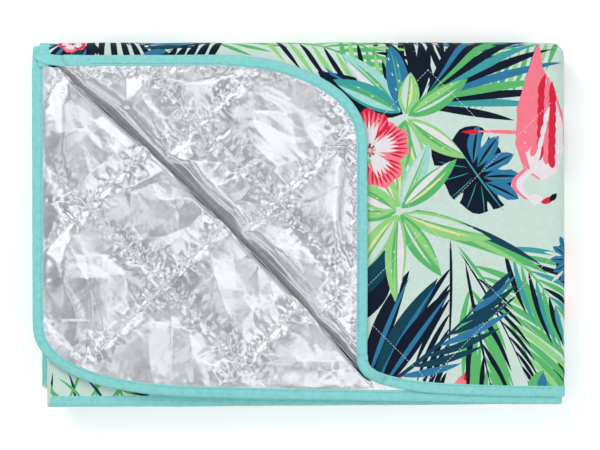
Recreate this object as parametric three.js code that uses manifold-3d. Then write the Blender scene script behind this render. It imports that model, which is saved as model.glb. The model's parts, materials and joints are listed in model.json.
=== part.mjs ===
// A foil-backed picnic and camp blanket, quilted and edge-bound, stored folded four by four.
//
// The open blanket is 2.0 m by 1.4 m and lies folded in sixteen layers. It was folded in half four times:
//   fold A, half of the length     the two halves meet along the left edge of the stack
//   fold B, half of the width      along the bottom edge of the lower half of the stack
//   fold C, half of the length     the side fold, along the right edge
//   fold D, half of the width      the end fold, along the top edge; it was made last and opens first
// Folds A and B cut the blanket into four quarters, 1.0 m by 0.7 m. Folds C and D turn each quarter into a U
// that is bent over once more, so the quarters lie nested in each other, quarter 1 outside and quarter 4 inside.
// Layer 1 is the top of the stack and layer 16 lies on the ground. Quarter q holds layers q, 9 - q, 8 + q and
// 17 - q. Layer 1's free corner is turned back on itself and shows the foil.
//
// Millimetres. +X runs to the right along the long side, +Y to the end fold, +Z up.
// The origin is the centre of the footprint, on the ground.

import * as THREE from "three";
import { mergeVertices } from "three/addons/utils/BufferGeometryUtils.js";
import Module from "manifold-3d";

const wasm = await Module();
wasm.setup();

// ---- Driving dimensions ----

const FOLDED_WIDTH = 500; // along X, over the side fold and the second layer's binding
const FOLDED_DEPTH = 343; // along Y, over the end fold and the lowest bound edge

const PRINT_CLOTH = 0.4;
const WADDING = 1.7;
const FOIL = 0.3;
const PLY_GAP = 0.1; // between two plies of one quilt
const LAYER_GAP = 0.3; // between two layers of the stack
const FREE_CORNER_RADIUS = 70; // the blanket's own rounded corner

const BINDING_WIDTH = 10;
const BINDING_TAPE = 0.5; // one wall of the folded tape
const BINDING_CLEARANCE = 0.1; // tape to quilt

const QUILTING_PITCH = 100; // between parallel rows of stitching
const THREAD_WIDTH = 0.8;
const THREAD_HEIGHT = 0.2;
const SEAM_INSET = 1.5; // binding seam, from the binding's inner edge

// The corner turns about a diagonal line. Distances from that line are given as a change of x + y.
const FLAP_LINE_OFFSET = 8; // from layer 1's corner at the end fold to the line
const FLAP_CUT = 20.3; // from the line to the cut edge on either side of it
const FLAP_CREASE = 11.7; // from the line to the centre of the roll along the crease
const FLAP_TAKE_UP = 4; // closed again, the corner lies this far inside layer 1's own edges

const FOLD_STEPS = 12; // facets in a half turn
const CORNER_STEPS = 10; // facets in a free corner
const BODY_GAP = 0.2; // each half stops this far short of the end fold's centre line
const OVERCUT = LAYER_GAP / 4; // a cut reaches this far past the faces that it opens

// ---- Sizes that follow ----

const QUILT = PRINT_CLOTH + WADDING + FOIL + 2 * PLY_GAP;
const PITCH = QUILT + LAYER_GAP;
const QUARTERS = 4;
const HALF_STACK = 2 * QUARTERS * PITCH;
const STACK_BASE = -LAYER_GAP / 2; // half a layer gap below the lowest face, which lies on the ground
const FOLD_AXIS_Z = STACK_BASE + HALF_STACK;
const RIGHT = FOLDED_WIDTH / 2;
const LEFT = -RIGHT;
const TOP = FOLDED_DEPTH / 2;
const BOTTOM = -TOP;
const SIDE_FOLD_X = RIGHT - QUARTERS * PITCH + LAYER_GAP / 2;
const END_FOLD_Y = TOP - HALF_STACK + LAYER_GAP / 2;
const FLAT_END_Y = END_FOLD_Y - BODY_GAP;
const LOOP_RADIUS = LAYER_GAP / 2 + QUILT; // outside of a fold of two touching layers
const FACE_TOP = LAYER_GAP / 2; // from a layer's slot in the stack to the face of its quilt

// How far each layer lies from the stack's outline: [left edge, bottom edge at the left, bottom edge at the right].
// The bottom edges of one quarter's two layers meet at the side fold, so they share the right-hand figure.
const SET_BACK = {
  1: [5.5, 22, 10],
  2: [0, 13, 3],
  3: [3.5, 12, 3.5],
  4: [5, 11, 3],
  5: [14, 0, 3],
  6: [14, 0.6, 3.5],
  7: [13, 0.4, 3],
  8: [13, 1, 10],
  9: [13.5, 10, 10],
  10: [13.5, 10, 10],
  11: [14.5, 10, 10],
  12: [14.5, 10, 10],
  13: [11.5, 13.5, 13.5],
  14: [10, 13.5, 13.5],
  15: [8, 13.5, 13.5],
  16: [6.5, 13.5, 13.5],
};

const FLAP_AXIS = LEFT + SET_BACK[1][0] + TOP - FLAP_LINE_OFFSET; // the line is x + y = FLAP_AXIS
const FLAP_TOP = FLAP_AXIS - (LEFT + SET_BACK[1][0] + FLAP_TAKE_UP);
const FLAP_RIGHT = FLAP_AXIS - (BOTTOM + SET_BACK[1][1] + FLAP_TAKE_UP);

// ---- Geometry helpers ----

function solidOf(geometry) {
  const bare = new THREE.BufferGeometry();
  const source = geometry.index ? geometry.toNonIndexed() : geometry;
  bare.setAttribute("position", source.getAttribute("position"));
  const merged = mergeVertices(bare, 1e-4);
  const mesh = new wasm.Mesh({
    numProp: 3,
    vertProperties: new Float32Array(merged.attributes.position.array),
    triVerts: new Uint32Array(merged.index.array),
  });
  return new wasm.Manifold(mesh);
}

function geometryOf(solid) {
  const mesh = solid.getMesh();
  const geometry = new THREE.BufferGeometry();
  geometry.setAttribute("position", new THREE.BufferAttribute(mesh.vertProperties, 3));
  geometry.setIndex(new THREE.BufferAttribute(mesh.triVerts, 1));
  geometry.computeVertexNormals();
  return geometry;
}

const union = (solids) => solids.reduce((whole, next) => whole.add(next));

// A flat solid: an outline in X and Y between two heights.
function plate(outline, low, high) {
  const shape = new THREE.Shape(outline);
  const geometry = new THREE.ExtrudeGeometry(shape, { depth: high - low, bevelEnabled: false });
  return solidOf(geometry.translate(0, 0, low));
}

// Half a ring, bulging to +X, with a straight leg behind each end of it.
function ringOutline(inner, outer, leg = 0) {
  const points = [];
  for (let i = 0; i <= FOLD_STEPS; i++) {
    const turn = -Math.PI / 2 + (Math.PI * i) / FOLD_STEPS;
    points.push(new THREE.Vector2(outer * Math.cos(turn), outer * Math.sin(turn)));
  }
  for (let i = FOLD_STEPS; i >= 0; i--) {
    const turn = -Math.PI / 2 + (Math.PI * i) / FOLD_STEPS;
    points.push(new THREE.Vector2(inner * Math.cos(turn), inner * Math.sin(turn)));
  }
  if (leg > 0) {
    points.push(new THREE.Vector2(-leg, -inner), new THREE.Vector2(-leg, -outer));
    points.splice(FOLD_STEPS + 1, 0, new THREE.Vector2(-leg, outer), new THREE.Vector2(-leg, inner));
  }
  return points;
}

// Half a ring, bulging to +X, round the line through (x, z) along Y.
function foldAlongY(x, z, inner, outer, yLow, yHigh, towards = 1) {
  const shape = new THREE.Shape(ringOutline(inner, outer));
  const geometry = new THREE.ExtrudeGeometry(shape, { depth: yHigh - yLow, bevelEnabled: false });
  geometry.rotateX(Math.PI / 2);
  if (towards < 0) geometry.rotateZ(Math.PI);
  const shift = towards < 0 ? yLow : yHigh;
  return solidOf(geometry.translate(x, shift, z));
}

// Half a ring, bulging to -Y, round the line through (y, z) along X.
function foldAlongX(y, z, inner, outer, xLow, xHigh) {
  const shape = new THREE.Shape(ringOutline(inner, outer));
  const geometry = new THREE.ExtrudeGeometry(shape, { depth: xHigh - xLow, bevelEnabled: false });
  geometry.rotateX(Math.PI / 2).rotateZ(-Math.PI / 2);
  return solidOf(geometry.translate(xHigh, y, z));
}

// What lies on the +Y side of the end fold's centre line of a profile [radius, x] turned about that line.
function turnedOverEnd(profile) {
  const points = [...profile, profile[0]].map(([radius, x]) => new THREE.Vector2(radius, x));
  const lathe = new THREE.LatheGeometry(points, 2 * FOLD_STEPS);
  lathe.rotateZ(-Math.PI / 2);
  let ring = solidOf(lathe.translate(0, END_FOLD_Y, FOLD_AXIS_Z));
  if (ring.volume() < 0) {
    lathe.index.array.reverse();
    ring = solidOf(lathe);
  }
  const reach = 2 * HALF_STACK;
  const side = [
    [LEFT - reach, END_FOLD_Y + BODY_GAP / 2],
    [RIGHT + reach, END_FOLD_Y + BODY_GAP / 2],
    [RIGHT + reach, TOP + reach],
    [LEFT - reach, TOP + reach],
  ].map(([x, y]) => new THREE.Vector2(x, y));
  return ring.intersect(plate(side, -reach, HALF_STACK * 2 + reach));
}

// ---- The layers' outlines ----

const isFreeLeft = (layer) => layer <= 4 || layer >= 13;
const isFreeBottom = (layer) => layer <= 8;

// The flat part of a layer, with its free edges moved in by inset and its folded ones moved out by spill.
function layerOutline(layer, inset, spill = 0) {
  const [left, bottomLeft, bottomRight] = SET_BACK[layer];
  const insetLeft = isFreeLeft(layer) ? inset : LOOP_RADIUS - spill;
  const insetBottom = isFreeBottom(layer) ? inset : 2 * PITCH - LAYER_GAP / 2 - spill;
  const yEnd = FLAT_END_Y + spill;
  const xLeft = LEFT + left + insetLeft;
  const yLeft = BOTTOM + bottomLeft + insetBottom;
  const yRight = BOTTOM + bottomRight + insetBottom;
  const points = [new THREE.Vector2(SIDE_FOLD_X, yRight)];
  if (isFreeLeft(layer) && isFreeBottom(layer)) {
    const radius = FREE_CORNER_RADIUS - inset;
    for (let i = 0; i <= CORNER_STEPS; i++) {
      const turn = -Math.PI / 2 - ((Math.PI / 2) * i) / CORNER_STEPS;
      const x = xLeft + radius + radius * Math.cos(turn);
      points.push(new THREE.Vector2(x, yLeft + radius + radius * Math.sin(turn)));
    }
  } else {
    points.push(new THREE.Vector2(xLeft, yLeft));
  }
  points.push(new THREE.Vector2(xLeft, yEnd), new THREE.Vector2(SIDE_FOLD_X, yEnd));
  return points;
}

// Everything on the side of the line x + y = sum that its sign names.
function diagonalSide(sum, sign, low, high) {
  const reach = 2 * FOLDED_WIDTH;
  const on = new THREE.Vector2(sum / 2, sum / 2);
  const along = new THREE.Vector2(1, -1).setLength(reach);
  const out = new THREE.Vector2(1, 1).setLength(sign * reach);
  const corners = [
    on.clone().sub(along),
    on.clone().add(along),
    on.clone().add(along).add(out),
    on.clone().sub(along).add(out),
  ];
  return plate(corners, low, high);
}

// ---- One quarter of the blanket in one half of the stack ----

// Distances of a quarter's plies from the middle of its half: [low, high], outwards.
// The print cloth is the outer ply on quarters 1 and 3, and the foil is on 2 and 4.
function plyRanges(quarter) {
  const base = (QUARTERS - quarter) * PITCH + FACE_TOP;
  const plies = [
    ["foil_backing", FOIL],
    ["wadding", WADDING],
    ["print_cloth", PRINT_CLOTH],
  ];
  if (quarter % 2 === 0) plies.reverse();
  const ranges = { quilt: [base, base + QUILT] };
  let from = base;
  for (const [name, thickness] of plies) {
    ranges[name] = [from, from + thickness];
    from += thickness + PLY_GAP;
  }
  return ranges;
}

// Both layers of a quarter in one half of the stack, joined by the side fold, between two distances from the
// half's middle. Free edges are moved in by inset, and edges that a fold carries on from out by spill.
function foldedQuarter(quarter, half, [near, far], inset, spill = 0) {
  const upper = half === "upper";
  const middle = STACK_BASE + (upper ? 1.5 : 0.5) * HALF_STACK;
  const outerLayer = upper ? quarter : 17 - quarter;
  const innerLayer = upper ? 9 - quarter : 8 + quarter;
  const out = upper ? 1 : -1;
  const leg = (layer, sign) => {
    const a = middle + sign * near;
    const b = middle + sign * far;
    return plate(layerOutline(layer, inset, spill), Math.min(a, b), Math.max(a, b));
  };
  let outerLeg = leg(outerLayer, out);
  if (upper && quarter === 1) {
    const cut = FLAP_AXIS + FLAP_CUT - spill;
    outerLeg = outerLeg.intersect(diagonalSide(cut, 1, middle, middle + HALF_STACK));
  }
  const bottoms = [outerLayer, innerLayer].map((layer) => layerOutline(layer, inset, spill)[0].y);
  const loop = foldAlongY(SIDE_FOLD_X, middle, near, far, Math.max(...bottoms), FLAT_END_Y + spill);
  return union([outerLeg, leg(innerLayer, -out), loop]);
}

// Folded tape round the free edges, open towards the quilt.
function foldedBinding(quarter, half) {
  const [near, far] = plyRanges(quarter).quilt;
  const whole = foldedQuarter(quarter, half, [near, far], 0);
  const cut = [near - OVERCUT, far + OVERCUT];
  const inside = foldedQuarter(quarter, half, cut, BINDING_WIDTH, OVERCUT);
  const channel = [near + BINDING_TAPE, far - BINDING_TAPE];
  const slot = foldedQuarter(quarter, half, channel, BINDING_TAPE, OVERCUT);
  return whole.subtract(inside).subtract(slot);
}

// The wadding fills the quilt and runs into the binding as a thinner tongue.
function foldedWadding(quarter, half) {
  const ranges = plyRanges(quarter);
  const grip = BINDING_TAPE + BINDING_CLEARANCE;
  const [near, far] = ranges.quilt;
  const field = foldedQuarter(quarter, half, ranges.wadding, BINDING_WIDTH + BINDING_CLEARANCE);
  const tongue = foldedQuarter(quarter, half, [near + grip, far - grip], grip);
  return field.add(tongue);
}

function foldedSkin(quarter, half, ply) {
  return foldedQuarter(quarter, half, plyRanges(quarter)[ply], BINDING_WIDTH + BINDING_CLEARANCE);
}

// ---- The end fold, where every quarter turns over from the upper half to the lower one ----

// The profile of a quarter's quilt across the end fold: out along one leg, round the side fold and back.
function endProfile(quarter, xFrom) {
  const [near, far] = plyRanges(quarter).quilt;
  const middle = 0.5 * HALF_STACK;
  const points = [[middle + far, xFrom]];
  for (let i = 0; i <= FOLD_STEPS; i++) {
    const turn = Math.PI / 2 - (Math.PI * i) / FOLD_STEPS;
    points.push([middle + far * Math.sin(turn), SIDE_FOLD_X + far * Math.cos(turn)]);
  }
  const innerLeft = LEFT + SET_BACK[9 - quarter][0] + LOOP_RADIUS;
  points.push([middle - far, innerLeft], [middle - near, innerLeft]);
  for (let i = FOLD_STEPS; i >= 0; i--) {
    const turn = Math.PI / 2 - (Math.PI * i) / FOLD_STEPS;
    points.push([middle + near * Math.sin(turn), SIDE_FOLD_X + near * Math.cos(turn)]);
  }
  points.push([middle + near, xFrom]);
  return points;
}

function endFold(quarter) {
  const xBound = LEFT + SET_BACK[quarter][0] + BINDING_WIDTH + BINDING_CLEARANCE;
  return turnedOverEnd(endProfile(quarter, xBound));
}

function endBinding(quarter) {
  const [near, far] = plyRanges(quarter).quilt;
  const x = LEFT + SET_BACK[quarter][0];
  const middle = 0.5 * HALF_STACK;
  return turnedOverEnd([
    [middle + far, x],
    [middle + far, x + BINDING_WIDTH],
    [middle + near, x + BINDING_WIDTH],
    [middle + near, x],
  ]);
}

// ---- Folds A, at the left edge, and folds B, at the bottom edge ----

const layerBase = (layer) => STACK_BASE + (16 - layer) * PITCH;

// Joins layer and the one below it along the left edge.
function leftFold(layer) {
  const [left, bottom] = SET_BACK[layer];
  const fold = isFreeBottom(layer) ? bottom + BINDING_WIDTH : bottom + 2 * PITCH;
  const x = LEFT + left + LOOP_RADIUS - BODY_GAP;
  return foldAlongY(x, layerBase(layer), LAYER_GAP / 2, LOOP_RADIUS, BOTTOM + fold, FLAT_END_Y, -1);
}

// Joins two layers of the lower half along the bottom edge, round any that lie between them.
function bottomFold(upperLayer, lowerLayer) {
  const between = (lowerLayer - upperLayer - 1) / 2;
  const centre = (layerBase(upperLayer) + layerBase(lowerLayer) + PITCH) / 2;
  const inner = between * PITCH + LAYER_GAP / 2;
  const y = BOTTOM + SET_BACK[upperLayer][1] + 2 * PITCH - LAYER_GAP / 2 - BODY_GAP;
  const boundEdge = isFreeLeft(upperLayer) ? BINDING_WIDTH : LOOP_RADIUS;
  const x = LEFT + Math.max(SET_BACK[upperLayer][0], SET_BACK[lowerLayer][0]) + boundEdge;
  return foldAlongX(y, centre, inner, inner + QUILT, x, SIDE_FOLD_X);
}

// ---- The turned corner ----

const FLAP_HINGE_Z = STACK_BASE + 2 * HALF_STACK;

// The corner's outline as it would lie closed, in line with layer 1.
function flapOutline(inset) {
  const xLeft = FLAP_AXIS - FLAP_TOP + inset;
  const yBottom = FLAP_AXIS - FLAP_RIGHT + inset;
  const radius = FREE_CORNER_RADIUS - inset;
  const reach = FOLDED_WIDTH;
  const points = [new THREE.Vector2(reach, yBottom)];
  for (let i = 0; i <= CORNER_STEPS; i++) {
    const turn = -Math.PI / 2 - ((Math.PI / 2) * i) / CORNER_STEPS;
    const x = xLeft + radius + radius * Math.cos(turn);
    points.push(new THREE.Vector2(x, yBottom + radius + radius * Math.sin(turn)));
  }
  points.push(new THREE.Vector2(xLeft, reach));
  return points;
}

// Half a turn about the line x + y = FLAP_AXIS at the height of layer 1's top slot.
function turnCorner(solid) {
  const middle = FLAP_AXIS / 2;
  const axis = new THREE.Vector3(1, -1, 0).normalize();
  const turn = new THREE.Matrix4().makeRotationAxis(axis, Math.PI);
  const there = new THREE.Matrix4().makeTranslation(middle, middle, FLAP_HINGE_Z);
  const back = new THREE.Matrix4().makeTranslation(-middle, -middle, -FLAP_HINGE_Z);
  return solid.transform(there.multiply(turn).multiply(back).elements);
}

// A slab of the closed corner between two heights above layer 1's foil face.
function flapSlab(low, high, inset, spill = 0) {
  const base = layerBase(1) + FACE_TOP;
  const slab = plate(flapOutline(inset), base + low, base + high);
  return slab.intersect(diagonalSide(FLAP_AXIS - FLAP_CUT + spill, -1, 0, 3 * HALF_STACK));
}

function flapBinding() {
  const whole = flapSlab(0, QUILT, 0);
  const inside = flapSlab(-OVERCUT, QUILT + OVERCUT, BINDING_WIDTH, OVERCUT);
  const slot = flapSlab(BINDING_TAPE, QUILT - BINDING_TAPE, BINDING_TAPE, OVERCUT);
  return turnCorner(whole.subtract(inside).subtract(slot));
}

function flapPlies() {
  const inset = BINDING_WIDTH + BINDING_CLEARANCE;
  const grip = BINDING_TAPE + BINDING_CLEARANCE;
  const waddingLow = FOIL + PLY_GAP;
  const printLow = waddingLow + WADDING + PLY_GAP;
  const wadding = flapSlab(waddingLow, waddingLow + WADDING, inset);
  return {
    foil_backing: turnCorner(flapSlab(0, FOIL, inset)),
    wadding: turnCorner(wadding.add(flapSlab(grip, QUILT - grip, grip))),
    print_cloth: turnCorner(flapSlab(printLow, QUILT, inset)),
  };
}

// The soft roll of quilt along the crease, between layer 1 and the turned corner.
function creaseRoll() {
  const sum = FLAP_AXIS + FLAP_CREASE;
  const start = new THREE.Vector2(RIGHT, sum - RIGHT);
  const end = new THREE.Vector2(sum - 2 * TOP, 2 * TOP);
  const leg = (FLAP_CUT - FLAP_CREASE) / Math.SQRT2 - BODY_GAP;
  const shape = new THREE.Shape(ringOutline(LAYER_GAP / 2, LOOP_RADIUS, leg));
  const geometry = new THREE.ExtrudeGeometry(shape, { depth: start.distanceTo(end), bevelEnabled: false });
  geometry.rotateX(Math.PI / 2).rotateZ(-Math.PI * 0.75);
  const roll = solidOf(geometry.translate(start.x, start.y, FLAP_HINGE_Z));
  const box = (xHigh, yLow, yHigh, low, high) => {
    const corners = [[2 * LEFT, yLow], [xHigh, yLow], [xHigh, yHigh], [2 * LEFT, yHigh]];
    return plate(corners.map(([x, y]) => new THREE.Vector2(x, y)), low, high);
  };
  const layerBottom = BOTTOM + SET_BACK[1][1];
  const below = box(RIGHT, layerBottom, FLAT_END_Y, FLAP_HINGE_Z - PITCH, FLAP_HINGE_Z);
  const above = box(FLAP_RIGHT, 2 * BOTTOM, FLAP_TOP, FLAP_HINGE_Z, FLAP_HINGE_Z + PITCH);
  return roll.intersect(below.add(above));
}

// ---- Stitching on the faces that can be seen ----

// Rows of quilting both ways, and the seam along the binding, lying on a face between two heights.
function stitching(outlineAt, low, bounds) {
  const high = low + THREAD_HEIGHT;
  const seamInset = BINDING_WIDTH - SEAM_INSET;
  const field = plate(outlineAt(seamInset), low, high);
  const insideSeam = plate(outlineAt(seamInset + THREAD_WIDTH), low - 1, high + 1);
  const rows = [];
  const reach = 2 * FOLDED_WIDTH;
  const count = Math.ceil(reach / QUILTING_PITCH);
  for (const slope of [1, -1]) {
    const along = new THREE.Vector2(1, slope).setLength(reach);
    const across = new THREE.Vector2(-slope, 1).setLength(1);
    for (let i = -count; i <= count; i++) {
      const middle = across.clone().multiplyScalar(i * QUILTING_PITCH);
      const half = across.clone().multiplyScalar(THREAD_WIDTH / 2);
      const corners = [
        middle.clone().sub(along).sub(half),
        middle.clone().add(along).sub(half),
        middle.clone().add(along).add(half),
        middle.clone().sub(along).add(half),
      ];
      rows.push(plate(corners, low, high));
    }
  }
  const lattice = union(rows).intersect(field);
  let threads = field.subtract(insideSeam).add(lattice);
  for (const bound of bounds) threads = threads.intersect(bound);
  return threads.decompose().sort((a, b) => b.volume() - a.volume())[0];
}

function layerStitching(layer, bounds = []) {
  const low = layerBase(layer) + FACE_TOP + QUILT + (LAYER_GAP - THREAD_HEIGHT) / 2;
  return stitching((inset) => layerOutline(layer, inset), low, bounds);
}

function flapStitching() {
  const low = layerBase(1) + FACE_TOP - (LAYER_GAP + THREAD_HEIGHT) / 2;
  const side = diagonalSide(FLAP_AXIS - FLAP_CUT, -1, 0, 3 * HALF_STACK);
  return turnCorner(stitching(flapOutline, low, [side]));
}

// ---- Materials ----

const printMaterial = new THREE.MeshStandardMaterial({ color: 0xc3ded5, roughness: 0.8, metalness: 0 });
const foilMaterial = new THREE.MeshStandardMaterial({ color: 0xc9ccd1, roughness: 0.22, metalness: 1 });
const waddingMaterial = new THREE.MeshStandardMaterial({ color: 0xf2f2ee, roughness: 0.95, metalness: 0 });
const bindingMaterial = new THREE.MeshStandardMaterial({ color: 0x77cfcb, roughness: 0.75, metalness: 0 });
const threadMaterial = new THREE.MeshStandardMaterial({ color: 0xeef2f0, roughness: 0.6, metalness: 0 });
const PLY_MATERIALS = {
  print_cloth: printMaterial,
  wadding: waddingMaterial,
  foil_backing: foilMaterial,
};

// ---- The blanket ----

const blanket = new THREE.Group();

function add(name, solid, material) {
  const mesh = new THREE.Mesh(geometryOf(solid), material);
  mesh.name = name;
  blanket.add(mesh);
}

for (let quarter = 1; quarter <= QUARTERS; quarter++) {
  for (const half of ["upper", "lower"]) {
    const name = `${half}_quarter${quarter}`;
    add(`${name}_print_cloth`, foldedSkin(quarter, half, "print_cloth"), printMaterial);
    add(`${name}_wadding`, foldedWadding(quarter, half), waddingMaterial);
    add(`${name}_foil_backing`, foldedSkin(quarter, half, "foil_backing"), foilMaterial);
    add(`${name}_edge_binding`, foldedBinding(quarter, half), bindingMaterial);
  }
  add(`end_fold_quarter${quarter}`, endFold(quarter), quarter % 2 ? printMaterial : foilMaterial);
  add(`end_fold_quarter${quarter}_binding`, endBinding(quarter), bindingMaterial);
}

for (const layer of [5, 7, 9, 11]) {
  add(`left_fold_layers_${layer}_${layer + 1}`, leftFold(layer), printMaterial);
}
for (const [above, below] of [[9, 12], [10, 11], [13, 16], [14, 15]]) {
  add(`bottom_fold_layers_${above}_${below}`, bottomFold(above, below), printMaterial);
}

for (const [ply, solid] of Object.entries(flapPlies())) {
  add(`turned_corner_${ply}`, solid, PLY_MATERIALS[ply]);
}
add("turned_corner_edge_binding", flapBinding(), bindingMaterial);
add("turned_corner_crease", creaseRoll(), foilMaterial);

const layerOneSide = diagonalSide(FLAP_AXIS + FLAP_CUT, 1, 0, 3 * HALF_STACK);
add("layer1_stitching", layerStitching(1, [layerOneSide]), threadMaterial);
add("layer2_stitching", layerStitching(2), threadMaterial);
add("turned_corner_stitching", flapStitching(), threadMaterial);

export default blanket;
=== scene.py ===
"""The looks of a folded camp blanket, built round its CAD frame: printed face, foil backing and bound edges."""

import json
import math

import bpy
import numpy as np
from mathutils import Vector
from mathutils.geometry import delaunay_2d_cdt
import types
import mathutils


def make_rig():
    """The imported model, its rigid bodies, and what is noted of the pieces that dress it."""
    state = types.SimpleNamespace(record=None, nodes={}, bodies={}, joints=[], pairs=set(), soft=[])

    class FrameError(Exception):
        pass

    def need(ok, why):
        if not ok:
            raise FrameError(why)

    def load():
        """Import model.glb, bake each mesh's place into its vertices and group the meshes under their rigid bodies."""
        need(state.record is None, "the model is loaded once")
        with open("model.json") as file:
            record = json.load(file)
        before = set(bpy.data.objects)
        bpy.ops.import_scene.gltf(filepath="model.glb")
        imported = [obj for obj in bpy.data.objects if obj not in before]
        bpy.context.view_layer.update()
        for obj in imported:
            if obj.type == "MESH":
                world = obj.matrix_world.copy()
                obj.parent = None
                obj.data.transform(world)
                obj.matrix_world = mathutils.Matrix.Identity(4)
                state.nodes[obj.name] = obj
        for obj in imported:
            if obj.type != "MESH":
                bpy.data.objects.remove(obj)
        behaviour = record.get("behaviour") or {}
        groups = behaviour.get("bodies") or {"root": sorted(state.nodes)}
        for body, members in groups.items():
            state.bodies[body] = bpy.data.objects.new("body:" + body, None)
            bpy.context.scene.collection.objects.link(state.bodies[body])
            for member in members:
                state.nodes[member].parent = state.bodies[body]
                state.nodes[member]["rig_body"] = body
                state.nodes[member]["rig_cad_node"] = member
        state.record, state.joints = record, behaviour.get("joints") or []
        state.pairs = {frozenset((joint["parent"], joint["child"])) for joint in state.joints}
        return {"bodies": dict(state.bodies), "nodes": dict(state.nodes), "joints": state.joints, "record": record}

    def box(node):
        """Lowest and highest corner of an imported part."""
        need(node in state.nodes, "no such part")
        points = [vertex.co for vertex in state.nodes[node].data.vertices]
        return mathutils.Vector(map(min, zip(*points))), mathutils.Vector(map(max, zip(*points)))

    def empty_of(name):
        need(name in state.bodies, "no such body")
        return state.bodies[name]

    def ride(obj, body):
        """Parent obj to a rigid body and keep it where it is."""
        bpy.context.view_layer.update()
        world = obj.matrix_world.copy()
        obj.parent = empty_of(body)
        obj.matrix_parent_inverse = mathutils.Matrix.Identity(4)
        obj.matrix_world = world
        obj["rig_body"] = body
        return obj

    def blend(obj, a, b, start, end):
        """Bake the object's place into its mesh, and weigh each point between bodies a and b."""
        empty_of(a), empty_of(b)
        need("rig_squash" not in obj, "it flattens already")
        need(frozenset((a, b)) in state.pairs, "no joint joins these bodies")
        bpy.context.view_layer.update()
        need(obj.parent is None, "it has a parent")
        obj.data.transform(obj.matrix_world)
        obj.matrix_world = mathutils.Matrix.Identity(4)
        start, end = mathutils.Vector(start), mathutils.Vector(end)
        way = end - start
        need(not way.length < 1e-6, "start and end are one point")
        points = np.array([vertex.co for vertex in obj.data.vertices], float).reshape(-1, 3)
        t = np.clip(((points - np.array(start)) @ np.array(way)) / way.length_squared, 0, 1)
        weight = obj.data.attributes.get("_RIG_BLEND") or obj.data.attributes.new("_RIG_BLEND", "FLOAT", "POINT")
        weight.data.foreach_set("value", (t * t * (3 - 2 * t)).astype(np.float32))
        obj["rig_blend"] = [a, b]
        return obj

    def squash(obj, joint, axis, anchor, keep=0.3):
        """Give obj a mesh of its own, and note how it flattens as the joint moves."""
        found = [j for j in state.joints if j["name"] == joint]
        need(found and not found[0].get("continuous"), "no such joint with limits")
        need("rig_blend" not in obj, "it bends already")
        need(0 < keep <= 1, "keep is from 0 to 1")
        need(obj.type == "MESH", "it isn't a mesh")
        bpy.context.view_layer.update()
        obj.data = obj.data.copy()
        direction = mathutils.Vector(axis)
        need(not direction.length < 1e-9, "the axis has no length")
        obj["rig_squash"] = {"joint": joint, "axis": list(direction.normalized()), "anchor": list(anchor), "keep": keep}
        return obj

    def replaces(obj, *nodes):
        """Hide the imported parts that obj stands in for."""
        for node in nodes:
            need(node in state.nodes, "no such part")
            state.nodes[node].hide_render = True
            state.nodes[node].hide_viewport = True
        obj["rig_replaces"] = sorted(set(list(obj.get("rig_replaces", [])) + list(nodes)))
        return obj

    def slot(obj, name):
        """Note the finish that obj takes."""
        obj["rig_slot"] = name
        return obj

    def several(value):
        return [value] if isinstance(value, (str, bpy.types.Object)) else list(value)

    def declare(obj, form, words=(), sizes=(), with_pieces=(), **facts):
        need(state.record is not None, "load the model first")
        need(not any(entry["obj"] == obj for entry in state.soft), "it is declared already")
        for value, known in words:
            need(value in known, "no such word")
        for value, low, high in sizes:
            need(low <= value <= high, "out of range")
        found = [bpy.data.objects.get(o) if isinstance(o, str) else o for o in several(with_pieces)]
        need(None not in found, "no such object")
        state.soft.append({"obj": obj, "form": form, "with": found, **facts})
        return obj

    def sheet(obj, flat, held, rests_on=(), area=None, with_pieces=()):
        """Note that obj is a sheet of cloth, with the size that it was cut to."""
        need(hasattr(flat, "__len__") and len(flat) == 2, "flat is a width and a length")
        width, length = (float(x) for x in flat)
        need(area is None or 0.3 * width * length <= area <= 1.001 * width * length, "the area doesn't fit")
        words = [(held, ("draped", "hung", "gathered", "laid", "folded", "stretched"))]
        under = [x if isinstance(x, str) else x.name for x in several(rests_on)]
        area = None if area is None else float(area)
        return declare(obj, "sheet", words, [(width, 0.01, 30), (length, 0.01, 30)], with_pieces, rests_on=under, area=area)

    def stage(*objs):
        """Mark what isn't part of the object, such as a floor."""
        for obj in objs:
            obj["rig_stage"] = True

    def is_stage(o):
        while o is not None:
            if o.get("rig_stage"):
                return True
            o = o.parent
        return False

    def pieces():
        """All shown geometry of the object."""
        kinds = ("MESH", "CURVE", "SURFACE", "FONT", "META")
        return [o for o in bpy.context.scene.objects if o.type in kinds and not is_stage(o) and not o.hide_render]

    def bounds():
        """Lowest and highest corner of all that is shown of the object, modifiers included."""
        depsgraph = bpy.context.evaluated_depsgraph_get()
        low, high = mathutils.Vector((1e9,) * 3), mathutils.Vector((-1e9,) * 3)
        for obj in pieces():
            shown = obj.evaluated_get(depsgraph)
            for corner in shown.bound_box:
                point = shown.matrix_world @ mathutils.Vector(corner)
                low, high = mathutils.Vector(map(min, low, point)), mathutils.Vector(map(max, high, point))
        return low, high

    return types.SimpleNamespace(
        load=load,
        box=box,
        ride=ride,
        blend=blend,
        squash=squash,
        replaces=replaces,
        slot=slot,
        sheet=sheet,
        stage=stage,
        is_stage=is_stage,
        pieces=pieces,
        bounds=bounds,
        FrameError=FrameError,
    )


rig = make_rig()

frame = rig.load()
cad_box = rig.bounds()

# ---- Sizes, in millimetres; they repeat part.mjs or come from the frame ----

MM = 0.001
QUILT = 2.6
FACE_DEPTH = 0.12  # the printed face and the film lie this far inside the quilt's outside
LAYER_GAP = 0.3
PITCH = QUILT + LAYER_GAP
HALF_QUILT = QUILT / 2
HALF_STACK = 8 * PITCH
BINDING_WIDTH = 10.0
SKIN_INSET = 5.0  # skins end under the binding, this far from the edge
ROLL_INSET = 7.5  # and the roll along the crease this far
ROOT2 = math.sqrt(2)

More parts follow.
